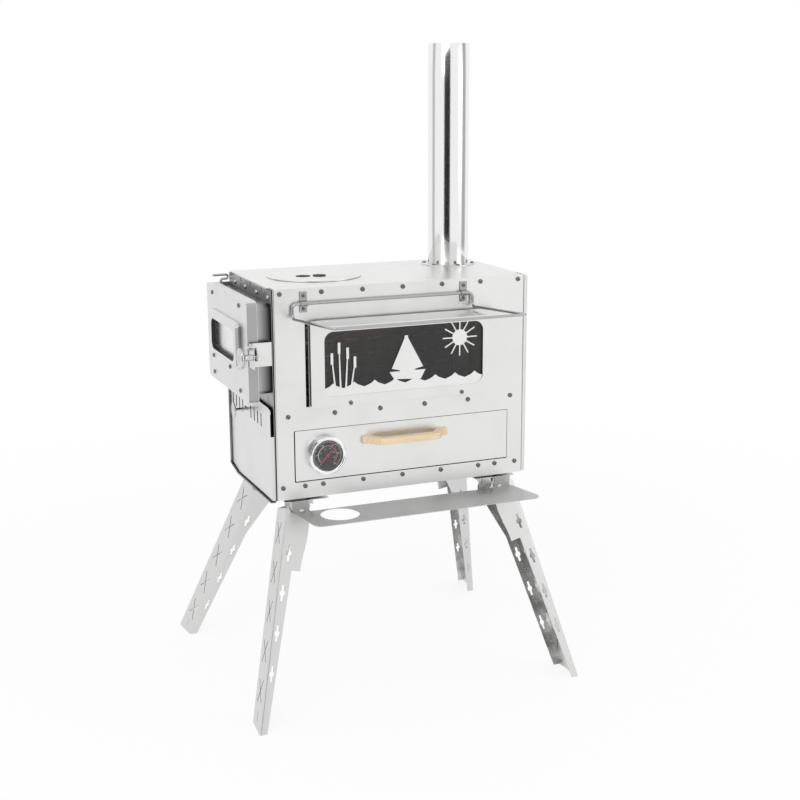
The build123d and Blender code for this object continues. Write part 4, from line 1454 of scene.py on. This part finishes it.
@dataclass
class Studio:
    """White floor, soft light and the photograph's camera.

    Cards hold a name, a bearing round from behind the camera, to the right as the camera sees it, a
    width in metres and a tone. Lamps hold a name, a place, a side in metres and a power in watts.
    """

    lens: float = 60.05
    yaw: float = 22.12
    pitch: float = 12.97
    roll: float = -0.27
    stand: tuple = (-0.7934, (-1924.8 + FRONT_Y) * MM, 0.9798)
    shift: tuple = (0.00375, -0.00975)
    surround: float = 0.8
    floor_size: float = 6.0
    floor_tone: float = 0.95
    fade_start: float = 0.5
    fade_end: float = 2.2
    near_white: float = 0.85
    card_distance: float = 2.4
    card_height: float = 2.6
    cards: tuple = (("card_behind_camera", -7.0, 1.5, 0.02), ("card_right", 96.0, 1.1, 0.45),
                    ("card_left", -96.0, 0.8, 0.55))
    lamps: tuple = (("key", (-1.6, -1.9, 2.3), 1.8, 26), ("fill", (2.2, -1.6, 1.4), 1.6, 9))
    aim: tuple = (0.0, 0.0, 0.5)

    @staticmethod
    def seen(wires: Wiring) -> bpy.types.NodeSocket:
        """Pick out the rays that see plain white: camera, glossy and transmitted ones.

        Args:
            wires: the wiring to add the nodes to.

        Returns:
            One for such a ray, zero for others.
        """
        path = wires.node("ShaderNodeLightPath").outputs
        either = wires.math("MAXIMUM", path["Is Camera Ray"], path["Is Glossy Ray"])
        return wires.math("MAXIMUM", either, path["Is Transmission Ray"])

    def world(self) -> None:
        """White to the camera, a soft grey surround to the steel."""
        world = bpy.data.worlds.new("studio")
        bpy.context.scene.world = world
        world.use_nodes = True
        world.node_tree.nodes.clear()
        wires = Wiring(world.node_tree)
        soft, white = (wires.node("ShaderNodeBackground", {"Color": (1, 1, 1, 1), "Strength": strength})
                       for strength in (self.surround, 1.0))
        mix = wires.node("ShaderNodeMixShader",
                         {0: self.seen(wires), 1: soft.outputs[0], 2: white.outputs[0]})
        wires.node("ShaderNodeOutputWorld", {"Surface": mix.outputs[0]})

    def floor(self) -> None:
        """Large pale floor that keeps the object's shadow and fades to white away from it."""
        work = bmesh.new()
        bmesh.ops.create_grid(work, x_segments=1, y_segments=1, size=self.floor_size)
        floor = link_mesh("studio_floor", work)
        material, wires, shade, leave = blank_material("studio_white")
        wires.fill(shade, {"Base Color": (*grey(self.floor_tone), 1.0), "Roughness": 0.6})
        glow = wires.node("ShaderNodeEmission", {"Color": (1, 1, 1, 1), "Strength": 1.0})
        away = wires.node("ShaderNodeVectorMath", {0: wires.place()}, operation="LENGTH")
        fade = wires.node("ShaderNodeMapRange", {
            "Value": away.outputs["Value"], "From Min": self.fade_start, "From Max": self.fade_end,
            "To Min": self.near_white, "To Max": 1.0}, interpolation_type="SMOOTHSTEP")
        share = wires.math("MULTIPLY", self.seen(wires), fade.outputs["Result"])
        mix = wires.node("ShaderNodeMixShader", {0: share, 1: shade.outputs[0], 2: glow.outputs[0]})
        wires.fill(leave, {"Surface": mix.outputs[0]})
        floor.data.materials.append(material)

    def card(self, name: str, bearing: float, width: float, tone: float) -> None:
        """Stand a card near the object: only its reflection in the metal is seen.

        Args:
            name: the card's name.
            bearing: degrees round from behind the camera.
            width: the card's width in metres.
            tone: how bright the card is.
        """
        turn = math.radians(self.yaw - bearing)
        way = Vector((-math.sin(turn), -math.cos(turn), 0.0))
        side = Vector((way.y, -way.x, 0.0)) * (width / 2)
        foot = way * self.card_distance
        top = Vector((0, 0, self.card_height))
        work = bmesh.new()
        corners = (foot - side, foot + side, foot + side + top, foot - side + top)
        work.faces.new([work.verts.new(corner) for corner in corners])
        card = link_mesh(name, work)
        material, wires, _, leave = blank_material(name)
        glow = wires.node("ShaderNodeEmission", {"Color": (*grey(tone), 1.0)})
        wires.fill(leave, {"Surface": glow.outputs[0]})
        card.data.materials.append(material)
        card.visible_camera = False
        card.visible_diffuse = False
        card.visible_shadow = False
        card.visible_transmission = False

    def lamp(self, name: str, place: tuple, size: float, power: float) -> None:
        """Add a soft square lamp that looks at the object.

        Args:
            name: the lamp's name.
            place: where it hangs, in metres.
            size: its side in metres.
            power: its power in watts.
        """
        data = bpy.data.lights.new(name, "AREA")
        data.shape = "SQUARE"
        data.size = size
        data.energy = power
        lamp = placed(name, data)
        lamp.location = place
        lamp.rotation_euler = (Vector(self.aim) - Vector(place)).to_track_quat("-Z", "Y").to_euler()

    def camera(self) -> None:
        """Camera at the photograph's place."""
        data = bpy.data.cameras.new("camera")
        data.lens = self.lens
        data.sensor_width = 36.0
        data.shift_x, data.shift_y = self.shift
        data.clip_end = 50.0
        camera = placed("camera", data)
        turn = Matrix.Rotation(math.radians(-self.yaw), 4, "Z")
        tilt = Matrix.Rotation(math.radians(90 - self.pitch), 4, "X")
        spin = Matrix.Rotation(math.radians(self.roll), 4, "Z")
        camera.matrix_world = Matrix.Translation(self.stand) @ turn @ tilt @ spin
        bpy.context.scene.camera = camera

    def build(self) -> None:
        """Set up the whole studio."""
        bpy.context.scene.view_settings.view_transform = "Standard"
        self.world()
        self.floor()
        for card in self.cards:
            self.card(*card)
        for lamp in self.lamps:
            self.lamp(*lamp)
        self.camera()


def main() -> None:
    """Build every piece."""
    Studio().build()
    for part in (SheetWork(), FluePipe(), ScrewWork(), Thermometer(), WireWork(), Knobs(), CarriedNodes()):
        part.build()
        LOG.info("%s is done", type(part).__name__)


if __name__ == "__main__":
    main()
